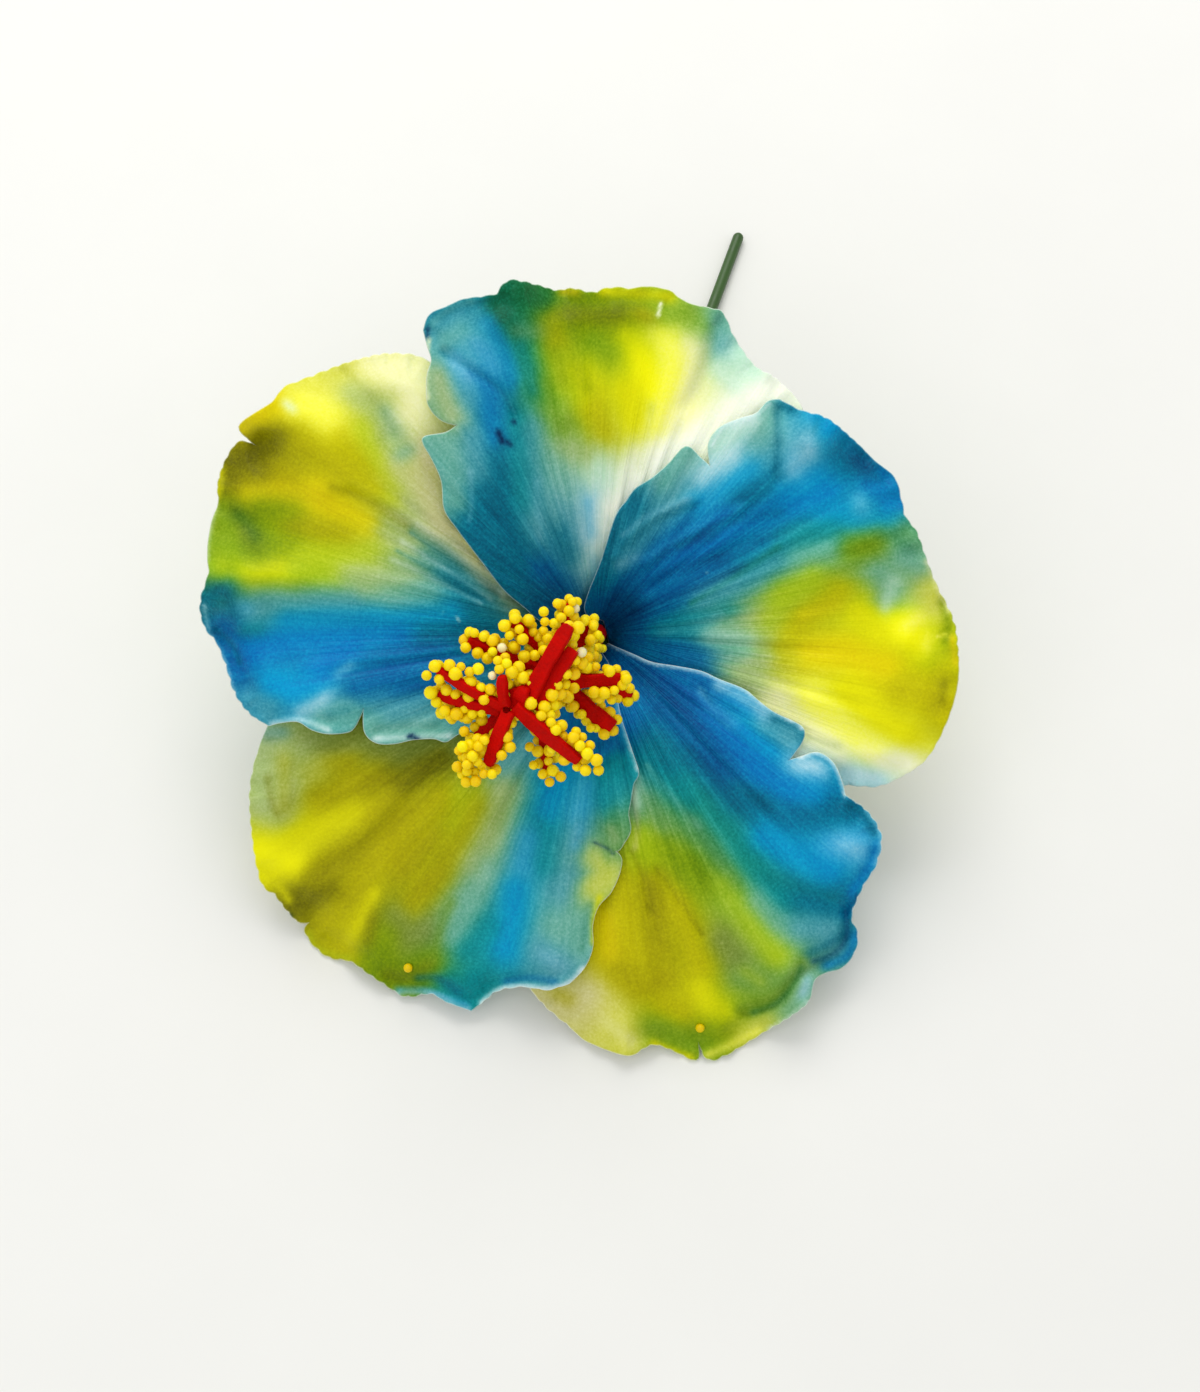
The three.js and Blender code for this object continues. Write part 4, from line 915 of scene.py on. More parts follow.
def paint_and_light_palette(context):
    colours = context.scene.hibiscus_sprays
    return {name: to_display(getattr(colours, name)) for name in SprayAndPaintedLightColours.__annotations__}


# -------- materials

# The middle range of a noise, which most of its values are in.
NOISE_RANGE = (0.3, 0.7)
# Broad and fine veins: (count round the throat, detail outwards).
BROAD_VEINS = (34.0, 1.5)
FINE_VEINS = (150.0, 3.6)
FINE_VEIN_SHARE = 0.8
VEIN_PAINT = 0.155
VEIN_RELIEF = -0.9
PAINT_THICKNESS = 0.06


def add_node(tree, kind, inputs=None, **settings):
    """Adds a node, sets it up, and fills its inputs with values or links them to other sockets."""
    made = tree.nodes.new(kind)
    made.location = (220 * len(tree.nodes), -40 * (len(tree.nodes) % 5))
    for name, value in settings.items():
        setattr(made, name, value)
    for name, value in (inputs or {}).items():
        if isinstance(value, bpy.types.NodeSocket):
            tree.links.new(value, made.inputs[name])
        else:
            made.inputs[name].default_value = value
    return made


def maths(tree, operation, *values):
    """The result of a Math node on values or sockets."""
    return add_node(tree, "ShaderNodeMath", dict(enumerate(values)), operation=operation).outputs[0]


def map_range(tree, value, old, new, **settings):
    """A value socket moved from the range `old` to the range `new`."""
    return add_node(tree, "ShaderNodeMapRange", {
        "Value": value, "From Min": old[0], "From Max": old[1], "To Min": new[0], "To Max": new[1],
    }, **settings).outputs["Result"]


def shaded(tree, base, factor):
    """A colour darkened or lightened by a value socket."""
    return add_node(tree, "ShaderNodeMix", {
        "Factor": 1.0, "A": base, "B": factor,
    }, data_type="RGBA", blend_type="MULTIPLY").outputs["Result"]


def mottled(tree, factor, base, dark, light):
    """A colour between `dark` and `light` times the base colour, chosen by a value socket."""
    first, second = ((*(share * value for value in base), 1.0) for share in (dark, light))
    return add_node(tree, "ShaderNodeMix", {
        "Factor": factor, "A": first, "B": second,
    }, data_type="RGBA").outputs["Result"]


def new_group(name, values, outputs):
    """A node group that takes a vector and named values: its tree, what it is given, what it gives."""
    group = bpy.data.node_groups.new(name, "ShaderNodeTree")
    group.interface.new_socket("Vector", in_out="INPUT", socket_type="NodeSocketVector")
    for socket, default in values.items():
        made = group.interface.new_socket(socket, in_out="INPUT", socket_type="NodeSocketFloat")
        made.default_value = default
    for socket in outputs:
        group.interface.new_socket(socket, in_out="OUTPUT", socket_type="NodeSocketFloat")
    return group, group.nodes.new("NodeGroupInput").outputs, group.nodes.new("NodeGroupOutput").inputs


def make_grain_group():
    """Fine cells of foam or specks of paint: a value round 1 to multiply by, and a height."""
    group, given, result = new_group("Foam grain", {"Scale": 1000.0, "Contrast": 0.1}, ["Shade", "Height"])
    cells = add_node(group, "ShaderNodeTexNoise", {
        "Vector": given["Vector"], "Scale": given["Scale"], "Detail": 3.0, "Roughness": 0.6,
    }).outputs["Fac"]
    centred = maths(group, "SUBTRACT", cells, 0.5)
    group.links.new(maths(group, "MULTIPLY_ADD", centred, given["Contrast"], 1.0), result["Shade"])
    group.links.new(cells, result["Height"])


def make_vein_group():
    """Soft streaks that run from the throat outwards, from a petal's UV map: a value round 0."""
    group, given, result = new_group("Petal veins", {"Count": 30.0, "Length": 1.4, "Detail": 3.0}, ["Veins"])
    stretch = add_node(group, "ShaderNodeCombineXYZ", {"X": given["Count"], "Y": given["Length"], "Z": 0.0})
    along = add_node(group, "ShaderNodeVectorMath", {
        0: given["Vector"], 1: stretch.outputs["Vector"],
    }, operation="MULTIPLY")
    field = add_node(group, "ShaderNodeTexNoise", {
        "Vector": along.outputs["Vector"], "Scale": 1.0, "Detail": given["Detail"], "Roughness": 0.55,
    })
    group.links.new(map_range(group, field.outputs["Fac"], NOISE_RANGE, (-1.0, 1.0)), result["Veins"])


def use_group(tree, name, **inputs):
    """Places a shared node group in a material with its own values, and gives its outputs."""
    return add_node(tree, "ShaderNodeGroup", inputs, node_tree=bpy.data.node_groups[name]).outputs


def grain(tree, place_on, scale, contrast):
    """The foam's grain, with `scale` cells to a metre."""
    return use_group(tree, "Foam grain", Vector=place_on, Scale=scale, Contrast=contrast)


def new_material(name, **principled):
    """A material's node tree and the inputs of its Principled shader, with the given ones set."""
    material = bpy.data.materials.new(name)
    material.use_nodes = True
    shader = material.node_tree.nodes["Principled BSDF"].inputs
    for socket, value in principled.items():
        shader[socket.replace("_", " ")].default_value = value
    return material.node_tree, shader


def own_coordinates(tree):
    return add_node(tree, "ShaderNodeTexCoord").outputs["Object"]


def vary_roughness(tree, shader, value, low, high):
    """Roughness from `low` to `high`, following a noise."""
    tree.links.new(map_range(tree, value, NOISE_RANGE, (low, high)), shader["Roughness"])


def emboss(tree, shader, height, strength, depth):
    """Fine relief that follows a height socket, `depth` mm deep."""
    bump = add_node(tree, "ShaderNodeBump", {"Height": height, "Strength": strength, "Distance": depth * MM})
    tree.links.new(bump.outputs["Normal"], shader["Normal"])


def petal_material():
    """Airbrushed foam with painted highlights and painted shade in its spray: thin paint, thicker in the
    veins and in specks, on a satin face.
    """
    tree, shader = new_material(
        "Airbrushed foam", Specular_IOR_Level=0.07, Subsurface_Weight=0.1,
        Subsurface_Radius=(1.0, 0.9, 0.7), Subsurface_Scale=1.0 * MM,
    )
    place_on = own_coordinates(tree)
    round_throat = add_node(tree, "ShaderNodeUVMap", uv_map="Throat").outputs["UV"]
    # The petal's spray colour, painted highlights and painted shade included.
    sprayed = add_node(tree, "ShaderNodeAttribute", attribute_name="Spray").outputs["Color"]
    out = add_node(tree, "ShaderNodeSeparateXYZ", {"Vector": round_throat}).outputs["Y"]
    specks = grain(tree, place_on, 2300.0, 0.8)
    cloudy = grain(tree, place_on, 220.0, 0.35)
    broad, fine = (
        use_group(tree, "Petal veins", Vector=round_throat, Count=count, Length=outwards)["Veins"]
        for count, outwards in (BROAD_VEINS, FINE_VEINS)
    )
    fade = map_range(tree, out, (0.35, 0.95), (1.0, 0.3), interpolation_type="SMOOTHSTEP")
    veins = maths(tree, "MULTIPLY", maths(tree, "MULTIPLY_ADD", fine, FINE_VEIN_SHARE, broad), fade)
    grained = maths(tree, "MULTIPLY", specks["Shade"], cloudy["Shade"])
    thickness = maths(tree, "MULTIPLY_ADD", veins, VEIN_PAINT, maths(tree, "ADD", grained, PAINT_THICKNESS))
    painted = add_node(tree, "ShaderNodeGamma", {"Color": sprayed, "Gamma": thickness})
    tree.links.new(painted.outputs["Color"], shader["Base Color"])
    vary_roughness(tree, shader, cloudy["Height"], 0.36, 0.52)
    emboss(tree, shader, maths(tree, "MULTIPLY_ADD", veins, VEIN_RELIEF, specks["Height"]), 0.5, 0.12)


def red_foam_material(red):
    """Plain cut foam, coloured through, a little rough and uneven."""
    tree, shader = new_material(
        "Red foam", Specular_IOR_Level=0.05, Subsurface_Weight=0.1,
        Subsurface_Radius=(1.0, 0.2, 0.1), Subsurface_Scale=0.8 * MM,
    )
    place_on = own_coordinates(tree)
    fine = grain(tree, place_on, 3000.0, 0.35)
    cloudy = grain(tree, place_on, 420.0, 0.7)
    uneven = mottled(tree, cloudy["Height"], red, 0.55, 1.25)
    tree.links.new(shaded(tree, uneven, fine["Shade"]), shader["Base Color"])
    vary_roughness(tree, shader, cloudy["Height"], 0.4, 0.65)
    emboss(tree, shader, maths(tree, "MULTIPLY_ADD", cloudy["Height"], 2.0, fine["Height"]), 0.8, 0.2)


def bead_material():
    """Small smooth foam beads, each a slightly different colour."""
    tree, shader = new_material(
        "Foam beads", Roughness=0.34, Specular_IOR_Level=0.16, Subsurface_Weight=0.4,
        Subsurface_Radius=(1.0, 0.9, 0.3), Subsurface_Scale=0.9 * MM,
    )
    dyed = add_node(tree, "ShaderNodeAttribute", attribute_name="Bead").outputs["Color"]
    fine = grain(tree, own_coordinates(tree), 1500.0, 0.22)
    tree.links.new(shaded(tree, dyed, fine["Shade"]), shader["Base Color"])
    emboss(tree, shader, fine["Height"], 0.2, 0.08)


def green_material(name, green, roughness):
    """Moulded or coated green plastic with a faint mottle and a fine grain."""
    tree, shader = new_material(name)
    place_on = own_coordinates(tree)
    cloudy = grain(tree, place_on, 220.0, 0.5)
    fine = grain(tree, place_on, 2200.0, 0.25)
    uneven = mottled(tree, cloudy["Height"], green, 0.6, 1.3)
    tree.links.new(shaded(tree, uneven, fine["Shade"]), shader["Base Color"])
    vary_roughness(tree, shader, cloudy["Height"], roughness - 0.1, roughness + 0.1)
    emboss(tree, shader, fine["Height"], 0.3, 0.1)


def floor_material(shade):
    """A matt pale floor, faintly uneven."""
    tree, shader = new_material("Pale floor", Roughness=0.85)
    cloudy = grain(tree, own_coordinates(tree), 30.0, 0.04)
    tree.links.new(shaded(tree, (*shade, 1.0), cloudy["Shade"]), shader["Base Color"])


# -------- pieces

def deselect_all():
    if bpy.context.mode != "OBJECT":
        bpy.ops.object.mode_set(mode="OBJECT")
    bpy.ops.object.select_all(action="DESELECT")


def make_active(piece):
    deselect_all()
    piece.select_set(True)
    bpy.context.view_layer.objects.active = piece


def add_object(name, data):
    """A new object in the scene, round its mesh, curve, light or camera."""
    made = bpy.data.objects.new(name, data)
    bpy.context.collection.objects.link(made)
    return made


def new_piece(name, points, faces):
    """A smooth mesh object at the origin, from points in metres."""
    mesh = bpy.data.meshes.new(name)
    mesh.from_pydata([tuple(point) for point in points], [], faces)
    mesh.update()
    piece = add_object(name, mesh)
    mesh.shade_smooth()
    return piece


def finish_piece(piece, material, node):
    """Gives a piece its material, parents it to the root body, and hides the CAD node that it stands for, if
    any.
    """
    piece.data.materials.clear()
    piece.data.materials.append(bpy.data.materials[material])
    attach(piece, "root")
    if node:
        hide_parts(node)


def set_colours(mesh, name, colours):
    """Stores a colour, in linear values, for each vertex."""
    layer = mesh.color_attributes.new(name, "FLOAT_COLOR", "POINT")
    rgba = np.ones((len(mesh.vertices), 4))
    rgba[:, :3] = colours
    layer.data.foreach_set("color", rgba.ravel())


def rim_edges(triangles):
    """The directed edges that only one triangle has, which run round the sheet."""
    edges = {(a, b) for tri in triangles for a, b in zip(tri, tri[1:] + tri[:1])}
    return [(a, b) for a, b in edges if (b, a) not in edges]


def build_petal(name, settings, palette):
    """One petal: its outline filled with triangles, lifted to its waves on both faces, with a
    rounded pale rim between them."""
    petal = PETALS[name]
    gap = settings.petal_detail / MM
    outline, rim = petal_outline(petal, gap)
    points, triangles = fill_outline(outline, gap)
    count = len(points)
    to_edge, _ = nearest_on_path(points, np.vstack([outline, outline[:1]]))
    distance, turn = polar(points, petal["middle"])
    top = upper_face(petal, points, rim)
    pressed = smoothstep(0, PRESSED_WIDTH, to_edge)
    foam = (settings.rim_foam + (settings.foam - settings.rim_foam) * pressed) / MM
    bottom = top - foam * steepness(distance)
    sunk = RESTING_HEIGHT - place(points[:, 0], points[:, 1], bottom)[:, 2] / MM
    top, bottom = (face + np.maximum(sunk, 0) / TOWARDS_VIEWER[2] for face in (top, bottom))

    edges = rim_edges(triangles)
    outward = np.zeros((count, 2))
    for start, end in edges:
        along = points[end] - points[start]
        outward[[start, end]] += np.array([along[1], -along[0]]) / np.linalg.norm(along)
    ring = sorted({corner for edge in edges for corner in edge})
    in_ring = {corner: 2 * count + place_in for place_in, corner in enumerate(ring)}
    outward = outward[ring] / np.maximum(np.linalg.norm(outward[ring], axis=1), 1e-9)[:, None]
    ring_points = points[ring] + outward * settings.rim_round / MM
    ring_height = (top[ring] + bottom[ring]) / 2

    across = np.vstack([points, points, ring_points])
    heights = np.concatenate([top, bottom, ring_height])
    faces = triangles + [[count + corner for corner in reversed(triangle)] for triangle in triangles]
    for start, end in edges:
        faces.append([end, start, in_ring[start], in_ring[end]])
        faces.append([in_ring[end], in_ring[start], count + start, count + end])
    piece = new_piece(name + "_foam", place(across[:, 0], across[:, 1], heights), faces)

    # The spray colour, with its painted highlights and painted shade.
    sprayed = airbrush_with_painted_light(name, to_photo(points), palette)
    pale = to_display(settings.pale_foam)
    # The back and the cut edge carry the front's painted highlights and painted shade too, faded toward the
    # pale foam.
    back = sprayed + (pale - sprayed) * BACK_PALENESS
    cut = sprayed[ring] + (pale - sprayed[ring]) * CUT_FOAM_SHARE
    set_colours(piece.data, "Spray", to_linear(np.clip(np.vstack([sprayed, back, cut]), 0, 1)))

    layer = piece.data.uv_layers.new(name="Throat")
    corners = np.empty(len(piece.data.loops), int)
    piece.data.loops.foreach_get("vertex_index", corners)
    spread = (np.concatenate([turn, turn, turn[ring]]) + petal["middle"]) / UV_TURN
    reach = np.concatenate([distance, distance, distance[ring]]) / petal["reach"]
    layer.data.foreach_set("uv", np.stack([spread[corners], reach[corners]], axis=1).ravel())
    return piece


# The column's middle line, from the throat to its top: (photo pixel, w in mm).
COLUMN_LINE = [
    ((596, 634), -17.6), ((595, 635), -11.0), ((586, 649), -4.0), ((564, 669), 4.0), ((538, 687), 11.0),
    ((515, 700), 16.4),
]
BORE_MOUTH = ((506, 710), 17.0)
BORE_RADIUS = 0.5
BORE_DEPTH = 6
SLIVER = 0.004

# A finger's base and tip as (photo pixel, w), and its bare inner face's width in mm. `left` and
# `right`, seen from the base with the bare face up, say how far along that side the beads begin
# (0 at the base, None for no beads there), and `end` whether the tip has beads.
Finger = namedtuple("Finger", "base tip width left right end", defaults=(None, None, False))
FINGERS = [
    Finger(((507, 711), 16.8), ((486, 766), 15.0), 2.1),
    Finger(((513, 708), 16.8), ((578, 763), 16.0), 2.2),
    Finger(((527, 697), 16.4), ((568, 625), 18.4), 2.4),
    Finger(((533, 709), 15.4), ((572, 649), 17.2), 2.4),
    Finger(((503, 708), 16.6), ((500, 677), 18.6), 1.6),
    Finger(((517, 704), 16.2), ((523, 688), 17.4), 2.2),
    Finger(((503, 709), 16.4), ((436, 671), 17.0), 1.5),
    Finger(((500, 712), 15.2), ((437, 696), 14.6), 1.7, right=0.5, end=True),
    Finger(((555, 682), 6.0), ((620, 680), 8.4), 2.2, left=0.8, end=True),
    Finger(((553, 682), 4.0), ((612, 729), 4.0), 2.9, right=0.1),
    Finger(((566, 672), 3.0), ((632, 697), 2.6), 1.6, left=0.3, right=0.3),
    Finger(((556, 668), 5.4), ((568, 605), 11.0), 1.7, left=0.2, right=0.2, end=True),
    Finger(((574, 664), 1.6), ((588, 625), 6.6), 1.7, left=0.6, right=0.2, end=True),
    Finger(((548, 676), 8.0), ((534, 640), 11.6), 2.0, left=0.5, right=0.3, end=True),
    Finger(((538, 673), 10.5), ((468, 642), 13.4), 2.1, left=0.75, right=0.75, end=True),
    Finger(((540, 690), 9.0), ((546, 772), 8.0), 1.7, left=0.2, right=0.2, end=True),
    Finger(((516, 700), 12.6), ((476, 737), 12.8), 1.9, left=0.3, right=0.3),
    Finger(((516, 700), 13.2), ((444, 712), 12.0), 1.9, left=0.3, right=0.3, end=True),
    Finger(((558, 660), 9.0), ((512, 625), 13.2), 1.8, left=0.55, right=0.3, end=True),
]
# The fingers' taper and unevenness as shares of their width, and their bow, dish and bevel in mm.
FINGER_TAPER = 0.12
FINGER_BOW = 0.35
FINGER_DISH = 0.1
FINGER_BEVEL = 0.24
FINGER_UNEVENNESS = (0.08, 0.06)
TIP_SHARE = 0.15
TIP_NARROWING = 0.25
SHARP_EDGE = 0.7

# How beads vary, stand apart and crowd, as shares of a bead's radius.
BEAD_SIZES = (0.82, 1.2)
BEAD_SPACING = 1.75
BEAD_GAPS = (0.92, 1.12)
BEAD_SHIFT = 0.12
BEAD_CLOSENESS = 0.74
WHITE_BEAD_SIZE = 0.82
# The last of these stands for a glint on a yellow bead, a painted highlight made a white bead; the others
# are white beads.
WHITE_BEADS_AND_GLINT_PX = [(584, 645), (578, 611), (502, 648), (484, 675)]
# Where the fingers lie bare, so that no bead covers them: (photo pixel, radius in px).
BARE_PLACES = [((534, 693), 9), ((506, 710), 7)]

# Beads in rows and heaps beside the fingers and on each other: (w in mm, then points in px).
BEAD_ROWS = [
    (17.0, (426, 676), (435, 667), (450, 665), (461, 667), (469, 672), (478, 669), (487, 667)),
    (17.4, (456, 674), (455, 675)), (16.4, (440, 679), (441, 680)), (16.4, (470, 682), (471, 683)),
    (16.6, (481, 687), (491, 690), (484, 699)), (17.2, (484, 675), (493, 675), (492, 684)),
    (16.0, (474, 675), (464, 677)), (15.2, (431, 693), (438, 687), (447, 690), (456, 694)),
    (14.4, (436, 702), (445, 711), (456, 714), (464, 709), (473, 714), (482, 712)),
    (13.4, (449, 717), (460, 719), (468, 718)), (14.0, (474, 633), (484, 636), (492, 640), (500, 642)),
    (13.4, (466, 648), (477, 653), (487, 658)), (14.8, (492, 651), (502, 648), (508, 654)),
    (17.6, (498, 661), (500, 669), (507, 664), (511, 673)), (16.6, (519, 667), (522, 677), (516, 681)),
    (15.6, (505, 658), (514, 662), (524, 668)),
    (14.4, (515, 619), (505, 626), (510, 636), (519, 629), (523, 639)),
    (13.6, (513, 646), (524, 646), (516, 654), (524, 657)), (13.0, (528, 621), (535, 618)),
    (13.2, (535, 656), (544, 650)), (13.0, (543, 611), (551, 614), (545, 622), (544, 630), (547, 638)),
    (12.6, (554, 623), (561, 618)), (12.2, (557, 604), (556, 611)),
    (12.0, (572, 602), (569, 611), (578, 611), (564, 618)),
    (8.0, (575, 622), (584, 621), (593, 627), (598, 635), (591, 640), (584, 645)),
    (8.4, (574, 636), (574, 644), (580, 652)), (7.4, (588, 657), (596, 667), (587, 667), (584, 673)),
    (16.0, (575, 661), (567, 674), (558, 685), (552, 695), (545, 706)),
    (14.6, (582, 663), (574, 673), (566, 684), (560, 694), (553, 705)),
    (9.6, (575, 688), (567, 697), (558, 705), (556, 714)), (8.8, (594, 692), (604, 693), (614, 691)),
    (8.8, (609, 671), (619, 672), (626, 679), (624, 686)), (7.2, (611, 700), (600, 699)),
    (4.4, (573, 706), (581, 714), (585, 722), (591, 729), (598, 731)),
    (16.6, (541, 716), (551, 722), (556, 730), (563, 735), (574, 738), (580, 746), (587, 754), (596, 760)),
    (15.4, (549, 715), (561, 726), (570, 727), (582, 737), (590, 745)),
    (15.8, (590, 765), (598, 770), (585, 770)), (14.8, (577, 767), (564, 759), (552, 749)),
    (15.8, (478, 739), (470, 746), (462, 743), (466, 757), (474, 757), (457, 758), (478, 762)),
    (14.4, (464, 732), (471, 729)), (14.8, (467, 771), (466, 782), (476, 781)),
    (15.6, (484, 774), (492, 774), (496, 766), (501, 755), (510, 747), (507, 737), (513, 731)),
    (14.2, (470, 765), (482, 766), (458, 767)), (17.0, (462, 746), (478, 746), (467, 764), (484, 741)),
    (14.0, (470, 752), (483, 752), (459, 751), (475, 772)),
    (13.2, (470, 738), (462, 774), (488, 767), (497, 748)),
    (9.4, (530, 747), (538, 751), (550, 751), (558, 757)),
    (9.2, (533, 765), (540, 760), (549, 761), (543, 774), (553, 771), (550, 782), (561, 777)),
]


def rod(name, points, radii, round_steps=5):
    """A round rod through points, in metres, with a radius at each: a bevelled curve made a mesh."""
    line = bpy.data.curves.new(name, "CURVE")
    line.dimensions = "3D"
    line.bevel_depth = 1.0
    line.bevel_resolution = round_steps
    line.use_fill_caps = True
    spline = line.splines.new("POLY")
    spline.points.add(len(points) - 1)
    for knot, point, radius in zip(spline.points, points, radii):
        knot.co = (*point, 1.0)
        knot.radius = radius
    make_active(add_object(name, line))
    bpy.ops.object.convert(target="MESH")
    piece = bpy.context.view_layer.objects.active
    piece.data.shade_smooth()
    return piece


def join_pieces(pieces, name):
    """Joins mesh objects into the first one, which gets the name."""
    make_active(pieces[0])
    for piece in pieces[1:]:
        piece.select_set(True)
    bpy.ops.object.join()
    joined = bpy.context.view_layer.objects.active
    joined.name = joined.data.name = name
    return joined


def apply_modifier(piece, kind, **settings):
    make_active(piece)
    modifier = piece.modifiers.new(kind.title(), kind)
    for name, value in settings.items():
        setattr(modifier, name, value)
    bpy.ops.object.modifier_apply(modifier=modifier.name)


def column_points(gap):
    """Points down the middle of the stamen's column, in metres."""
    return curve_through([place_pixel(*knot) for knot in COLUMN_LINE], gap * MM)


def finger_frame(base, tip):
    """A finger's base and its own axes: along it, across it, and out of its bare inner face."""
    start, end = place_pixel(*base), place_pixel(*tip)
    along = end - start
    line = column_points(0.5)
    column_axis = Vector(line[-1] - line[-2]).normalized()
    across = column_axis.cross(along).normalized()
    return start, along.normalized(), across, along.cross(across).normalized(), along.length


def model_finger_strip():
    """One strip of cut foam, 1 long, 1 wide and 1 thick, its bare face up: every finger is a copy."""
    deselect_all()
    bpy.ops.mesh.primitive_cube_add(size=1, location=(0.5, 0, -0.5))
    strip = bpy.context.active_object
    bpy.ops.object.transform_apply(location=True)
    bpy.ops.object.mode_set(mode="EDIT")
    cuts = [((cut / 8, 0, 0), (1, 0, 0)) for cut in range(1, 8)]
    cuts += [((0, side, 0), (0, 1, 0)) for side in (-0.25, 0.25)]
    for point, normal in cuts:
        bpy.ops.mesh.select_all(action="SELECT")
        bpy.ops.mesh.bisect(plane_co=point, plane_no=normal)
    bpy.ops.object.mode_set(mode="OBJECT")
    strip.name = "finger_strip"
    return strip


def make_finger(strip, finger, settings, shake):
    """A copy of the strip, shaped to one finger: tapered, slightly bowed and uneven, and bevelled."""
    start, along, across, inner, reach = finger_frame(finger.base, finger.tip)
    broad, fine = FINGER_UNEVENNESS
    piece = add_object("finger", strip.data.copy())
    bow = FINGER_BOW * MM * (0.5 + shake.random())
    wave = shake.uniform(0, 2 * math.pi)
    for vertex in piece.data.vertices:
        t, side, depth = vertex.co
        taper = 1 - FINGER_TAPER * t
        uneven = 1 + broad * math.sin(9 * t + wave) + fine * math.sin(23 * t + 2 * wave)
        rounded = 1 - TIP_NARROWING * max(0, t - (1 - TIP_SHARE)) / TIP_SHARE
        dish = -FINGER_DISH * MM * (1 - 4 * side * side)
        sideways = side * finger.width * MM * taper * uneven * rounded
        rise = depth * settings.finger_thickness * taper + bow * math.sin(math.pi * t) + dish * (1 + depth)
        vertex.co = start + along * (t * reach) + across * sideways + inner * rise
    apply_modifier(
        piece, "BEVEL", width=FINGER_BEVEL * MM, segments=3, limit_method="ANGLE", angle_limit=SHARP_EDGE,
    )
    return piece


def make_bore(core):
    """Cuts the dark hole where the fingers meet, and merges the slivers that the cut leaves."""
    deselect_all()
    mouth = place_pixel(*BORE_MOUTH)
    axis = Vector(TOWARDS_VIEWER)
    bpy.ops.mesh.primitive_cylinder_add(
        vertices=20, radius=BORE_RADIUS * MM, depth=BORE_DEPTH * MM, location=mouth,
        rotation=axis.to_track_quat("Z", "Y").to_euler(),
    )
    drill = bpy.context.active_object
    apply_modifier(core, "BOOLEAN", operation="DIFFERENCE", solver="EXACT", object=drill, use_self=True)
    bpy.data.objects.remove(drill)
    make_active(core)
    bpy.ops.object.mode_set(mode="EDIT")
    bpy.ops.mesh.select_all(action="SELECT")
    bpy.ops.mesh.remove_doubles(threshold=SLIVER * MM)
    bpy.ops.object.mode_set(mode="OBJECT")


def model_bead():
    """One small round bead of radius 1, a little flattened at its poles."""
    deselect_all()
    bpy.ops.mesh.primitive_uv_sphere_add(segments=9, ring_count=6, radius=1)
    bead = bpy.context.active_object
    bpy.ops.object.mode_set(mode="EDIT")
    bpy.ops.transform.resize(value=(1, 1, 0.96))
    bpy.ops.object.mode_set(mode="OBJECT")
    bead.name = "bead"
    return bead


def finger_bead_places(finger, settings, shake):
    """Bead centres along a finger's edges and round its tip, and over its outer face."""
    start, along, across, inner, reach = finger_frame(finger.base, finger.tip)
    bead, thickness = settings.bead, settings.finger_thickness
    half = finger.width * MM / 2
    # Each row's place across and out of the bare face, and how far along it begins.
    rows = [(0.45 * half, -1.6 * thickness, 0.15), (-0.45 * half, -1.6 * thickness, 0.2)]
    for side, begins in ((1, finger.left), (-1, finger.right)):
        if begins is not None:
            rows.append((side * (half + 0.5 * bead), -0.15 * thickness, begins))
            rows.append((side * (half + 0.6 * bead), -1.0 * thickness, begins / 2))
    places = []
    for side, depth, begins in rows:
        at = begins * reach + shake.uniform(0, 1) * bead
        while at < reach:
            taper = 1 - FINGER_TAPER * at / reach
            places.append(start + along * at + across * (side * taper) + inner * depth)
            at += BEAD_SPACING * bead * shake.uniform(*BEAD_GAPS)
    for side in (-0.8, 0.0, 0.8):
        for depth in (-0.2, -1.1) if finger.end else (-1.4,):
            beyond = along * (reach + (0.5 - 0.2 * abs(side)) * bead)
            places.append(start + beyond + across * (side * half) + inner * (depth * thickness))
    return places


def column_bead_places(settings):
    """Bead centres round the upper part of the column."""
    line = column_points(1.4)
    places = []
    for index in range(len(line) // 3, len(line) - 1):
        axis = Vector(line[index + 1] - line[index]).normalized()
        sideways = axis.orthogonal().normalized()
        for spoke in range(8):
            turned = Matrix.Rotation(math.tau * (spoke + 0.5 * (index % 2)) / 8, 3, axis) @ sideways
            places.append(Vector(line[index]) + turned * (settings.column + 0.5 * settings.bead))
    return places


def across_view(step):
    """How long a step looks from the camera, whatever its depth."""
    return step.cross(Vector(TOWARDS_VIEWER)).length


def bead_places(settings, shake):
    """Centre and radius of every bead. One that would sink into a bead before it is left out."""
    wanted = []
    for w, *path in BEAD_ROWS:
        for pixel in curve_through(path, BEAD_SPACING * settings.bead / MM / MM_PER_PX):
            wanted.append(place_pixel(pixel, w))
    for finger in FINGERS:
        wanted += finger_bead_places(finger, settings, shake)
    wanted += column_bead_places(settings)
    places = []
    bare = [
        (place_pixel(pixel, COLUMN_LINE[-1][1]), radius * MM_PER_PX * MM)
        for pixel, radius in BARE_PLACES
    ]
    for centre in wanted:
        radius = settings.bead * shake.uniform(*BEAD_SIZES)
        centre = centre + Vector([shake.uniform(-BEAD_SHIFT, BEAD_SHIFT) * settings.bead for _ in range(3)])
        if any(across_view(centre - place_at) < reach for place_at, reach in bare):
            continue
        if all((centre - other).length > BEAD_CLOSENESS * (radius + size) for other, size in places):
            places.append((centre, radius))
    return places


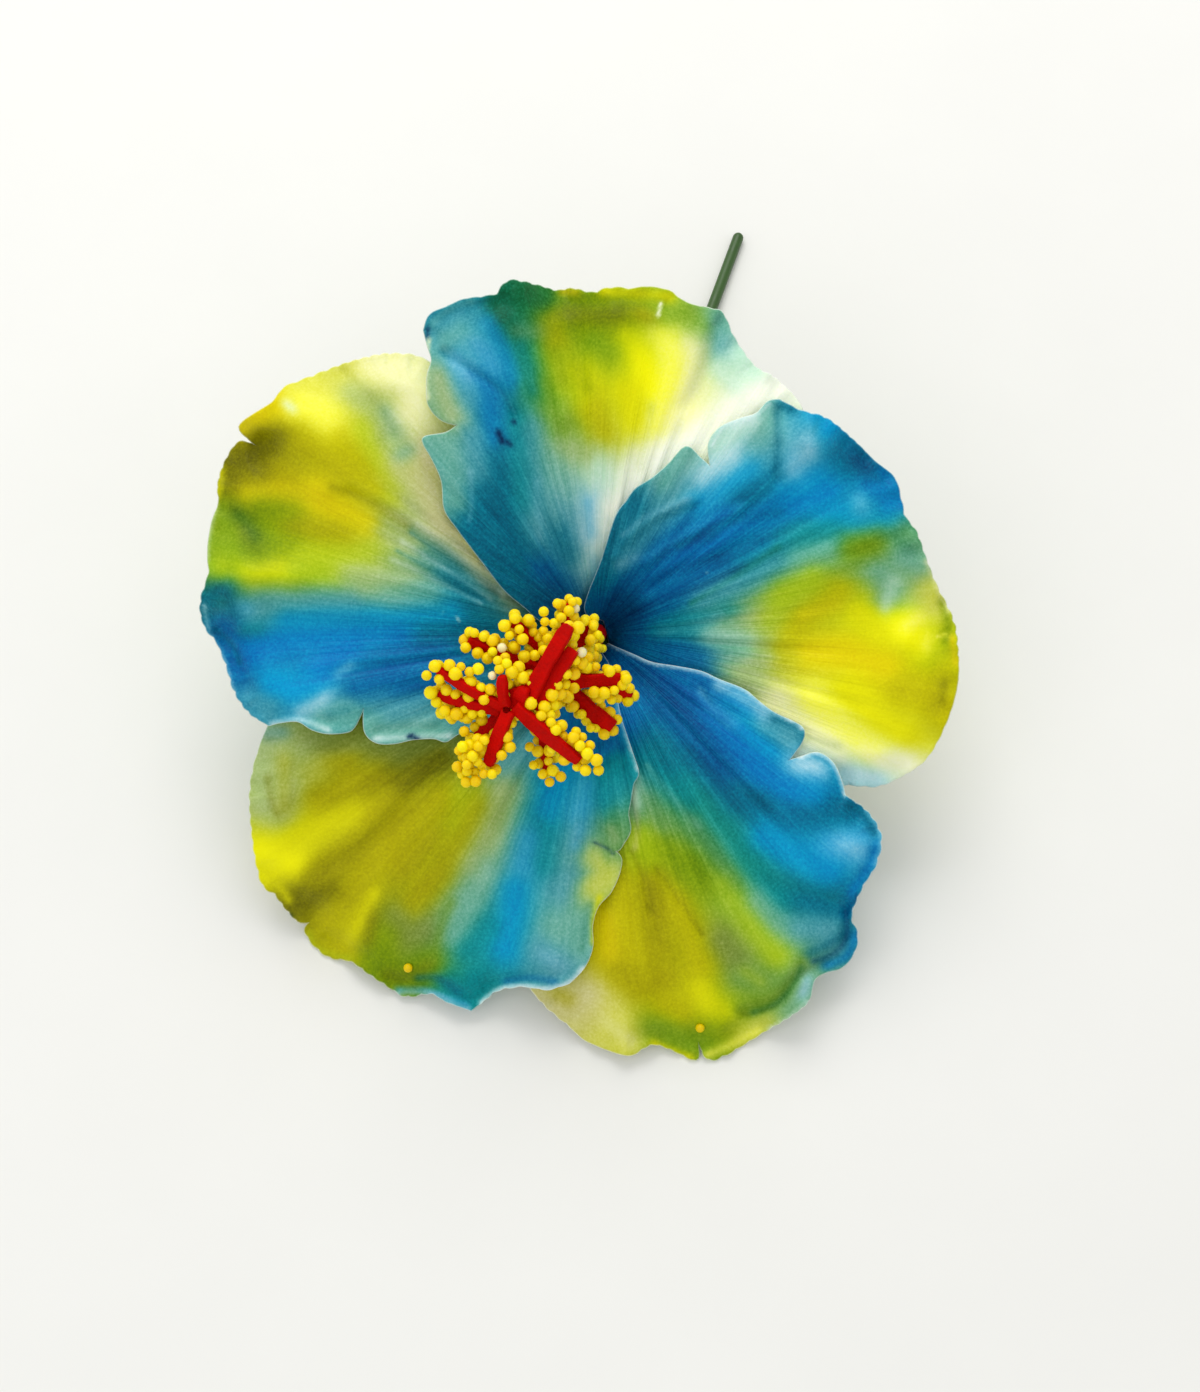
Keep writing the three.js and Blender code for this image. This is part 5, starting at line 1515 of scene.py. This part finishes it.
def make_beads(settings, shake):
    """All the beads as one mesh, each a turned and sized copy of the one that was modelled."""
    bead = model_bead()
    shape = np.array([vertex.co[:] for vertex in bead.data.vertices])
    corners = [list(face.vertices) for face in bead.data.polygons]
    places = bead_places(settings, shake)
    yellow, white = (to_display(value) for value in (settings.bead_yellow, settings.bead_white))
    centres = np.array([centre[:] for centre, _ in places]) / MM - ORIGIN_SHIFT - (0, 0, RIM_HEIGHT)
    spread = 1 - centres @ TOWARDS_VIEWER / VIEW_DISTANCE
    seen_at = to_photo(np.stack([centres @ RIGHT / spread, centres @ UP / spread], axis=1))
    nearness = centres @ TOWARDS_VIEWER
    whites_and_glint = {int(np.argmin(np.linalg.norm(seen_at - pixel, axis=1) - nearness)) for pixel in WHITE_BEADS_AND_GLINT_PX}
    points, faces, colours = [], [], []
    for index, (centre, radius) in enumerate(places):
        turn = shake.uniform(0, math.tau)
        axis = Vector((shake.uniform(-1, 1), shake.uniform(-1, 1), shake.uniform(-1, 1) + 0.01))
        turned = np.array(Matrix.Rotation(turn, 3, axis.normalized()))
        faces += [[corner + len(points) * len(shape) for corner in face] for face in corners]
        size = radius * (WHITE_BEAD_SIZE if index in whites_and_glint else 1)
        points.append(shape @ turned.T * size + np.array(centre))
        tint = white if index in whites_and_glint else yellow * (1, shake.uniform(0.96, 1.04), shake.uniform(0.4, 1.8))
        colours.append(np.tile(tint * shake.uniform(0.95, 1.03), (len(shape), 1)))
    bpy.data.objects.remove(bead)
    piece = new_piece("stamen_bead_crust", np.vstack(points), faces)
    set_colours(piece.data, "Bead", to_linear(np.clip(np.vstack(colours), 0, 1)))
    return piece


STRAY_SHADE = 0.75
STRAY_SIZE = 0.82
STRAY_FOOT = 0.35
STRAY_GLUE = 0.9
STRAY_LIFT = 0.7
# Beads that fell on the petals: (name, petal, photo pixel).
STRAY_BEADS = [
    ("stray_bead_left", "petal_lower_left", (408, 968)),
    ("stray_bead_right", "petal_lower_right", (700, 1028)),
]


def make_stray_bead(name, petal_name, pixel, settings):
    """A bead stuck to a petal, with its foot flattened into a little glue."""
    petal = PETALS[petal_name]
    _, rim = petal_outline(petal, settings.petal_detail / MM)
    at = from_photo([pixel])
    size = STRAY_SIZE * settings.bead
    ground = upper_face(petal, at, rim)[0]
    centre = Vector(place(*at[0], ground + STRAY_LIFT * size / MM)[0])
    deselect_all()
    bpy.ops.mesh.primitive_uv_sphere_add(segments=24, ring_count=14, radius=size)
    piece = bpy.context.active_object
    for vertex in piece.data.vertices:
        sunk = max(0.0, -vertex.co.z / size - STRAY_FOOT)
        vertex.co.x *= 1 + STRAY_GLUE * sunk
        vertex.co.y *= 1 + STRAY_GLUE * sunk
    turn = Vector(TOWARDS_VIEWER).to_track_quat("Z", "Y").to_matrix().to_4x4()
    piece.data.transform(Matrix.Translation(centre) @ turn)
    piece.data.shade_smooth()
    piece.name = piece.data.name = name
    set_colours(piece.data, "Bead", np.array(settings.bead_yellow) * STRAY_SHADE)
    return piece


# -------- calyx and stem, mm

CUP_RADIUS = 6.6
CUP_WALL = 1.3
CUP_FOOT = -25.5
SOCKET_DEPTH = 4.0
SEPAL_REACH = 14.0
SEPAL_HALF_TURN = 30
SEPAL_TIP_TURN = 2
SEPAL_THICKNESS = 0.8
SEPAL_TUCK = 1.4
SEPAL_THINNING = 0.55
RIB_HEIGHT = 0.45
RIB_WIDTH = 0.16


def lowest_underside(distance):
    """The lowest w that any petal's underside has at a distance from the throat's middle."""
    tucked_edge = trumpet(distance) - petal_step(distance) * TUCKED_TURN / TURN_BETWEEN_PETALS
    return tucked_edge - CAD_FOAM * steepness(distance)


def seat(distance):
    """The w at which the calyx lies under the petals, at a distance from the throat's middle."""
    return float(lowest_underside(np.array(distance, float)) - PETAL_GAP)


def make_cup(settings):
    """The calyx's cup: a profile spun round the throat, with a socket for the stem in its foot."""
    socket = settings.stem / MM + PETAL_GAP
    floor = seat(THROAT_RADIUS)
    inside = [(distance, seat(distance)) for distance in np.linspace(THROAT_RADIUS, CUP_RADIUS, 8)]
    profile = [(0.0, floor), *inside]
    profile += [(CUP_RADIUS + 0.45, seat(CUP_RADIUS) - 0.35), (CUP_RADIUS + 0.35, seat(CUP_RADIUS) - 0.9)]
    outside = np.linspace(CUP_RADIUS - 0.8, THROAT_RADIUS, 7)
    profile += [(distance + 0.8, seat(distance) - CUP_WALL) for distance in outside]
    profile += [
        (THROAT_RADIUS + 0.25, floor - 2.4), (THROAT_RADIUS + 0.1, CUP_FOOT + 0.6),
        (THROAT_RADIUS - 0.15, CUP_FOOT + 0.1), (THROAT_RADIUS - 0.5, CUP_FOOT), (socket, CUP_FOOT),
        (socket, CUP_FOOT + SOCKET_DEPTH), (0.0, CUP_FOOT + SOCKET_DEPTH),
    ]
    mesh = bpy.data.meshes.new("calyx_cup")
    knots = [(THROAT[0] + out, THROAT[1], w) for out, w in profile]
    mesh.from_pydata(knots, [(index, index + 1) for index in range(len(profile) - 1)], [])
    cup = add_object("calyx_cup", mesh)
    make_active(cup)
    bpy.ops.object.mode_set(mode="EDIT")
    bpy.ops.mesh.select_all(action="SELECT")
    bpy.ops.mesh.spin(steps=60, angle=math.tau, center=(*THROAT, 0), axis=(0, 0, 1))
    bpy.ops.mesh.select_all(action="SELECT")
    bpy.ops.mesh.remove_doubles(threshold=0.01)
    bpy.ops.mesh.normals_make_consistent(inside=False)
    bpy.ops.object.mode_set(mode="OBJECT")
    return cup


def make_sepal(middle):
    """One pointed sepal with a midrib, lying along the petals' undersides."""
    deselect_all()
    bpy.ops.mesh.primitive_grid_add(x_subdivisions=18, y_subdivisions=10, size=1)
    sepal = bpy.context.active_object
    apply_modifier(sepal, "SOLIDIFY", thickness=1.0, offset=-1)
    for vertex in sepal.data.vertices:
        t, side = vertex.co.x + 0.5, 2 * vertex.co.y
        distance = CUP_RADIUS - SEPAL_TUCK + (SEPAL_REACH - CUP_RADIUS + SEPAL_TUCK) * t
        half_turn = SEPAL_HALF_TURN + (SEPAL_TIP_TURN - SEPAL_HALF_TURN) * t**1.6
        angle = math.radians(middle + side * half_turn)
        rib = RIB_HEIGHT * math.exp(-((side / RIB_WIDTH) ** 2)) * (1 - t)
        thin = SEPAL_THICKNESS * (1 - SEPAL_THINNING * abs(side) ** 3) + rib
        w = seat(distance) + vertex.co.z * thin * float(steepness(np.array(distance)))
        vertex.co = (THROAT[0] + distance * math.cos(angle), THROAT[1] + distance * math.sin(angle), w)
    return sepal


def make_calyx(settings):
    """The cup and its five sepals, one between each pair of petals, as one moulded piece."""
    sepals = [make_sepal(petal["middle"] + TURN_BETWEEN_PETALS / 2) for petal in PETALS.values()]
    calyx = join_pieces([make_cup(settings), *sepals], "calyx_moulded")
    points = np.array([vertex.co[:] for vertex in calyx.data.vertices])
    calyx.data.vertices.foreach_set("co", place(*points.T).ravel())
    calyx.data.update()
    make_active(calyx)
    bpy.ops.object.shade_smooth_by_angle(angle=math.radians(CRISP_CALYX))
    return calyx


# Where the stem runs along the surface, and its tip: (photo pixel, height in mm).
STEM_LINE = [((618, 561), 1.9), ((660, 448), 1.9), ((738, 238), 1.0)]


def pixel_at_height(pixel, height):
    """The point at a height above the surface that is seen at a photo pixel."""
    x, y = from_photo(pixel)
    rise = height - RIM_HEIGHT - y * UP[2]
    return place(x, y, rise / (TOWARDS_VIEWER[2] - y * UP[2] / VIEW_DISTANCE))[0]


def make_stem(settings):
    """The stem: from the calyx's socket down and back along the surface to its rounded tip."""
    socket_top = CUP_FOOT + SOCKET_DEPTH - PETAL_GAP
    knots = [place(*THROAT, socket_top)[0], place(*THROAT, CUP_FOOT - 1.0)[0]]
    knots += [pixel_at_height(pixel, height) for pixel, height in STEM_LINE]
    line = list(curve_through(knots, 1.2 * MM))
    tip = line[-1]
    ahead = (tip - line[-2]) / np.linalg.norm(tip - line[-2])
    radii = [settings.stem] * len(line)
    for share in (0.35, 0.6, 0.8, 0.92, 0.99):
        line.append(tip + ahead * settings.stem * share)
        radii.append(settings.stem * math.sqrt(1 - share**2))
    return rod("stem_coated", line, radii, round_steps=6)


# -------- operators

FINGER_SEED = 3
BEAD_SEED = 11
# Edges sharper than this many degrees stay crisp.
CRISP_FOAM = 35
CRISP_CALYX = 50
FLOOR_SIDE = 3.0
CAMERA_RANGE = (0.01, 10)
# The studio lights: (name, place and side in metres, tint).
LIGHTS = [
    ("key", (-0.04, 0.44, 0.58), 0.5, (1.0, 0.985, 0.96)),
    ("fill", (-0.3, -0.45, 0.55), 0.8, (0.95, 0.98, 1.0)),
]


class HIBISCUS_OT_materials(bpy.types.Operator):
    """Make the shared node groups and every material"""

    bl_idname = "hibiscus.materials"
    bl_label = "Make materials"

    def execute(self, context):
        settings = context.scene.hibiscus_flower
        make_grain_group()
        make_vein_group()
        petal_material()
        red_foam_material(settings.red_foam)
        bead_material()
        green_material("Calyx green", settings.calyx_green, 0.5)
        green_material("Stem green", settings.stem_green, 0.42)
        floor_material(context.scene.hibiscus_stage.floor)
        return {"FINISHED"}


class HIBISCUS_OT_petals(bpy.types.Operator):
    """Make the five airbrushed foam petals"""

    bl_idname = "hibiscus.petals"
    bl_label = "Make petals"

    def execute(self, context):
        settings = context.scene.hibiscus_flower
        palette = paint_and_light_palette(context)
        for name in PETALS:
            petal = build_petal(name, settings, palette)
            finish_piece(petal, "Airbrushed foam", name)
        return {"FINISHED"}


class HIBISCUS_OT_stamen_core(bpy.types.Operator):
    """Make the red foam column and its splayed fingers"""

    bl_idname = "hibiscus.stamen_core"
    bl_label = "Make stamen core"

    def execute(self, context):
        settings = context.scene.hibiscus_flower
        shake = random.Random(FINGER_SEED)
        line = column_points(1.0)
        column = rod("column", line, [settings.column] * len(line))
        strip = model_finger_strip()
        fingers = [make_finger(strip, finger, settings, shake) for finger in FINGERS]
        bpy.data.objects.remove(strip)
        core = join_pieces([column, *fingers], "stamen_red_foam")
        make_bore(core)
        make_active(core)
        bpy.ops.object.shade_smooth_by_angle(angle=math.radians(CRISP_FOAM))
        finish_piece(core, "Red foam", "stamen_core")
        return {"FINISHED"}


class HIBISCUS_OT_stamen_beads(bpy.types.Operator):
    """Make the crust of small beads on the fingers and the column"""

    bl_idname = "hibiscus.stamen_beads"
    bl_label = "Make stamen beads"

    def execute(self, context):
        crust = make_beads(context.scene.hibiscus_flower, random.Random(BEAD_SEED))
        finish_piece(crust, "Foam beads", "stamen_beads")
        return {"FINISHED"}


class HIBISCUS_OT_stray_beads(bpy.types.Operator):
    """Make the two beads that stick to the lower petals"""

    bl_idname = "hibiscus.stray_beads"
    bl_label = "Make stray beads"

    def execute(self, context):
        for name, petal, pixel in STRAY_BEADS:
            bead = make_stray_bead(name, petal, pixel, context.scene.hibiscus_flower)
            finish_piece(bead, "Foam beads", None)
        return {"FINISHED"}


class HIBISCUS_OT_calyx(bpy.types.Operator):
    """Make the green cup and sepals behind the petals"""

    bl_idname = "hibiscus.calyx"
    bl_label = "Make calyx"

    def execute(self, context):
        calyx = make_calyx(context.scene.hibiscus_flower)
        finish_piece(calyx, "Calyx green", "calyx")
        return {"FINISHED"}


class HIBISCUS_OT_stem(bpy.types.Operator):
    """Make the stem"""

    bl_idname = "hibiscus.stem"
    bl_label = "Make stem"

    def execute(self, context):
        stem = make_stem(context.scene.hibiscus_flower)
        finish_piece(stem, "Stem green", "stem")
        return {"FINISHED"}


def add_aimed(name, data, place_at, aim):
    """A light or a camera at a place, turned to look at `aim`."""
    made = add_object(name, data)
    made.location = place_at
    made.rotation_mode = "QUATERNION"
    made.rotation_quaternion = (Vector(aim) - Vector(place_at)).to_track_quat("-Z", "Y")
    return made


class HIBISCUS_OT_stage(bpy.types.Operator):
    """Make the floor, the lights and the camera"""

    bl_idname = "hibiscus.stage"
    bl_label = "Make stage"

    def execute(self, context):
        stage = context.scene.hibiscus_stage
        deselect_all()
        bpy.ops.mesh.primitive_plane_add(size=FLOOR_SIDE)
        floor = context.active_object
        floor.name = "floor"
        floor.data.materials.append(bpy.data.materials["Pale floor"])

        middle = ORIGIN_SHIFT * MM + np.array([0, 0, RIM_HEIGHT * MM])
        for name, place_at, side, tint in LIGHTS:
            lamp = bpy.data.lights.new(name, "AREA")
            lamp.energy = getattr(stage, name + "_power")
            lamp.size = side
            lamp.color = tint
            add_aimed(name, lamp, place_at, middle)
        world = bpy.data.worlds.new("Studio")
        world.use_nodes = True
        sky = world.node_tree.nodes["Background"].inputs
        sky["Color"].default_value = (1, 1, 1, 1)
        sky["Strength"].default_value = stage.sky_strength
        context.scene.world = world
        context.scene.view_settings.view_transform = "Standard"

        lens = bpy.data.cameras.new("camera")
        lens.lens = lens.sensor_width * VIEW_DISTANCE / MM_PER_PX / max(PHOTO_SIZE)
        lens.clip_start, lens.clip_end = CAMERA_RANGE
        viewer = Vector(middle) + Vector(TOWARDS_VIEWER) * VIEW_DISTANCE * MM
        context.scene.camera = add_aimed("camera", lens, viewer, middle)
        return {"FINISHED"}


class HIBISCUS_PT_flower(bpy.types.Panel):
    """Lists the flower's pieces and its settings"""

    bl_idname = "HIBISCUS_PT_flower"
    bl_label = "Artificial hibiscus flower"
    bl_space_type = "VIEW_3D"
    bl_region_type = "UI"
    bl_category = "Hibiscus"

    def draw(self, context):
        for operator in OPERATORS:
            self.layout.operator(operator.bl_idname)
        for group in SETTINGS:
            box = self.layout.box()
            for name in SETTINGS[group].__annotations__:
                box.prop(getattr(context.scene, group), name)


OPERATORS = (
    HIBISCUS_OT_materials,
    HIBISCUS_OT_petals,
    HIBISCUS_OT_stamen_core,
    HIBISCUS_OT_stamen_beads,
    HIBISCUS_OT_stray_beads,
    HIBISCUS_OT_calyx,
    HIBISCUS_OT_stem,
    HIBISCUS_OT_stage,
)
SETTINGS = {
    "hibiscus_flower": FlowerSettings,
    "hibiscus_sprays": SprayAndPaintedLightColours,
    "hibiscus_stage": StageSettings,
}


def register():
    for group, kind in SETTINGS.items():
        bpy.utils.register_class(kind)
        setattr(bpy.types.Scene, group, bpy.props.PointerProperty(type=kind))
    for kind in (*OPERATORS, HIBISCUS_PT_flower):
        bpy.utils.register_class(kind)


def unregister():
    for kind in (HIBISCUS_PT_flower, *reversed(OPERATORS)):
        bpy.utils.unregister_class(kind)
    for group, kind in SETTINGS.items():
        delattr(bpy.types.Scene, group)
        bpy.utils.unregister_class(kind)


def main():
    register()
    bpy.ops.hibiscus.materials()
    bpy.ops.hibiscus.petals()
    bpy.ops.hibiscus.stamen_core()
    bpy.ops.hibiscus.stamen_beads()
    bpy.ops.hibiscus.stray_beads()
    bpy.ops.hibiscus.calyx()
    bpy.ops.hibiscus.stem()
    bpy.ops.hibiscus.stage()


if __name__ == "__main__":
    main()
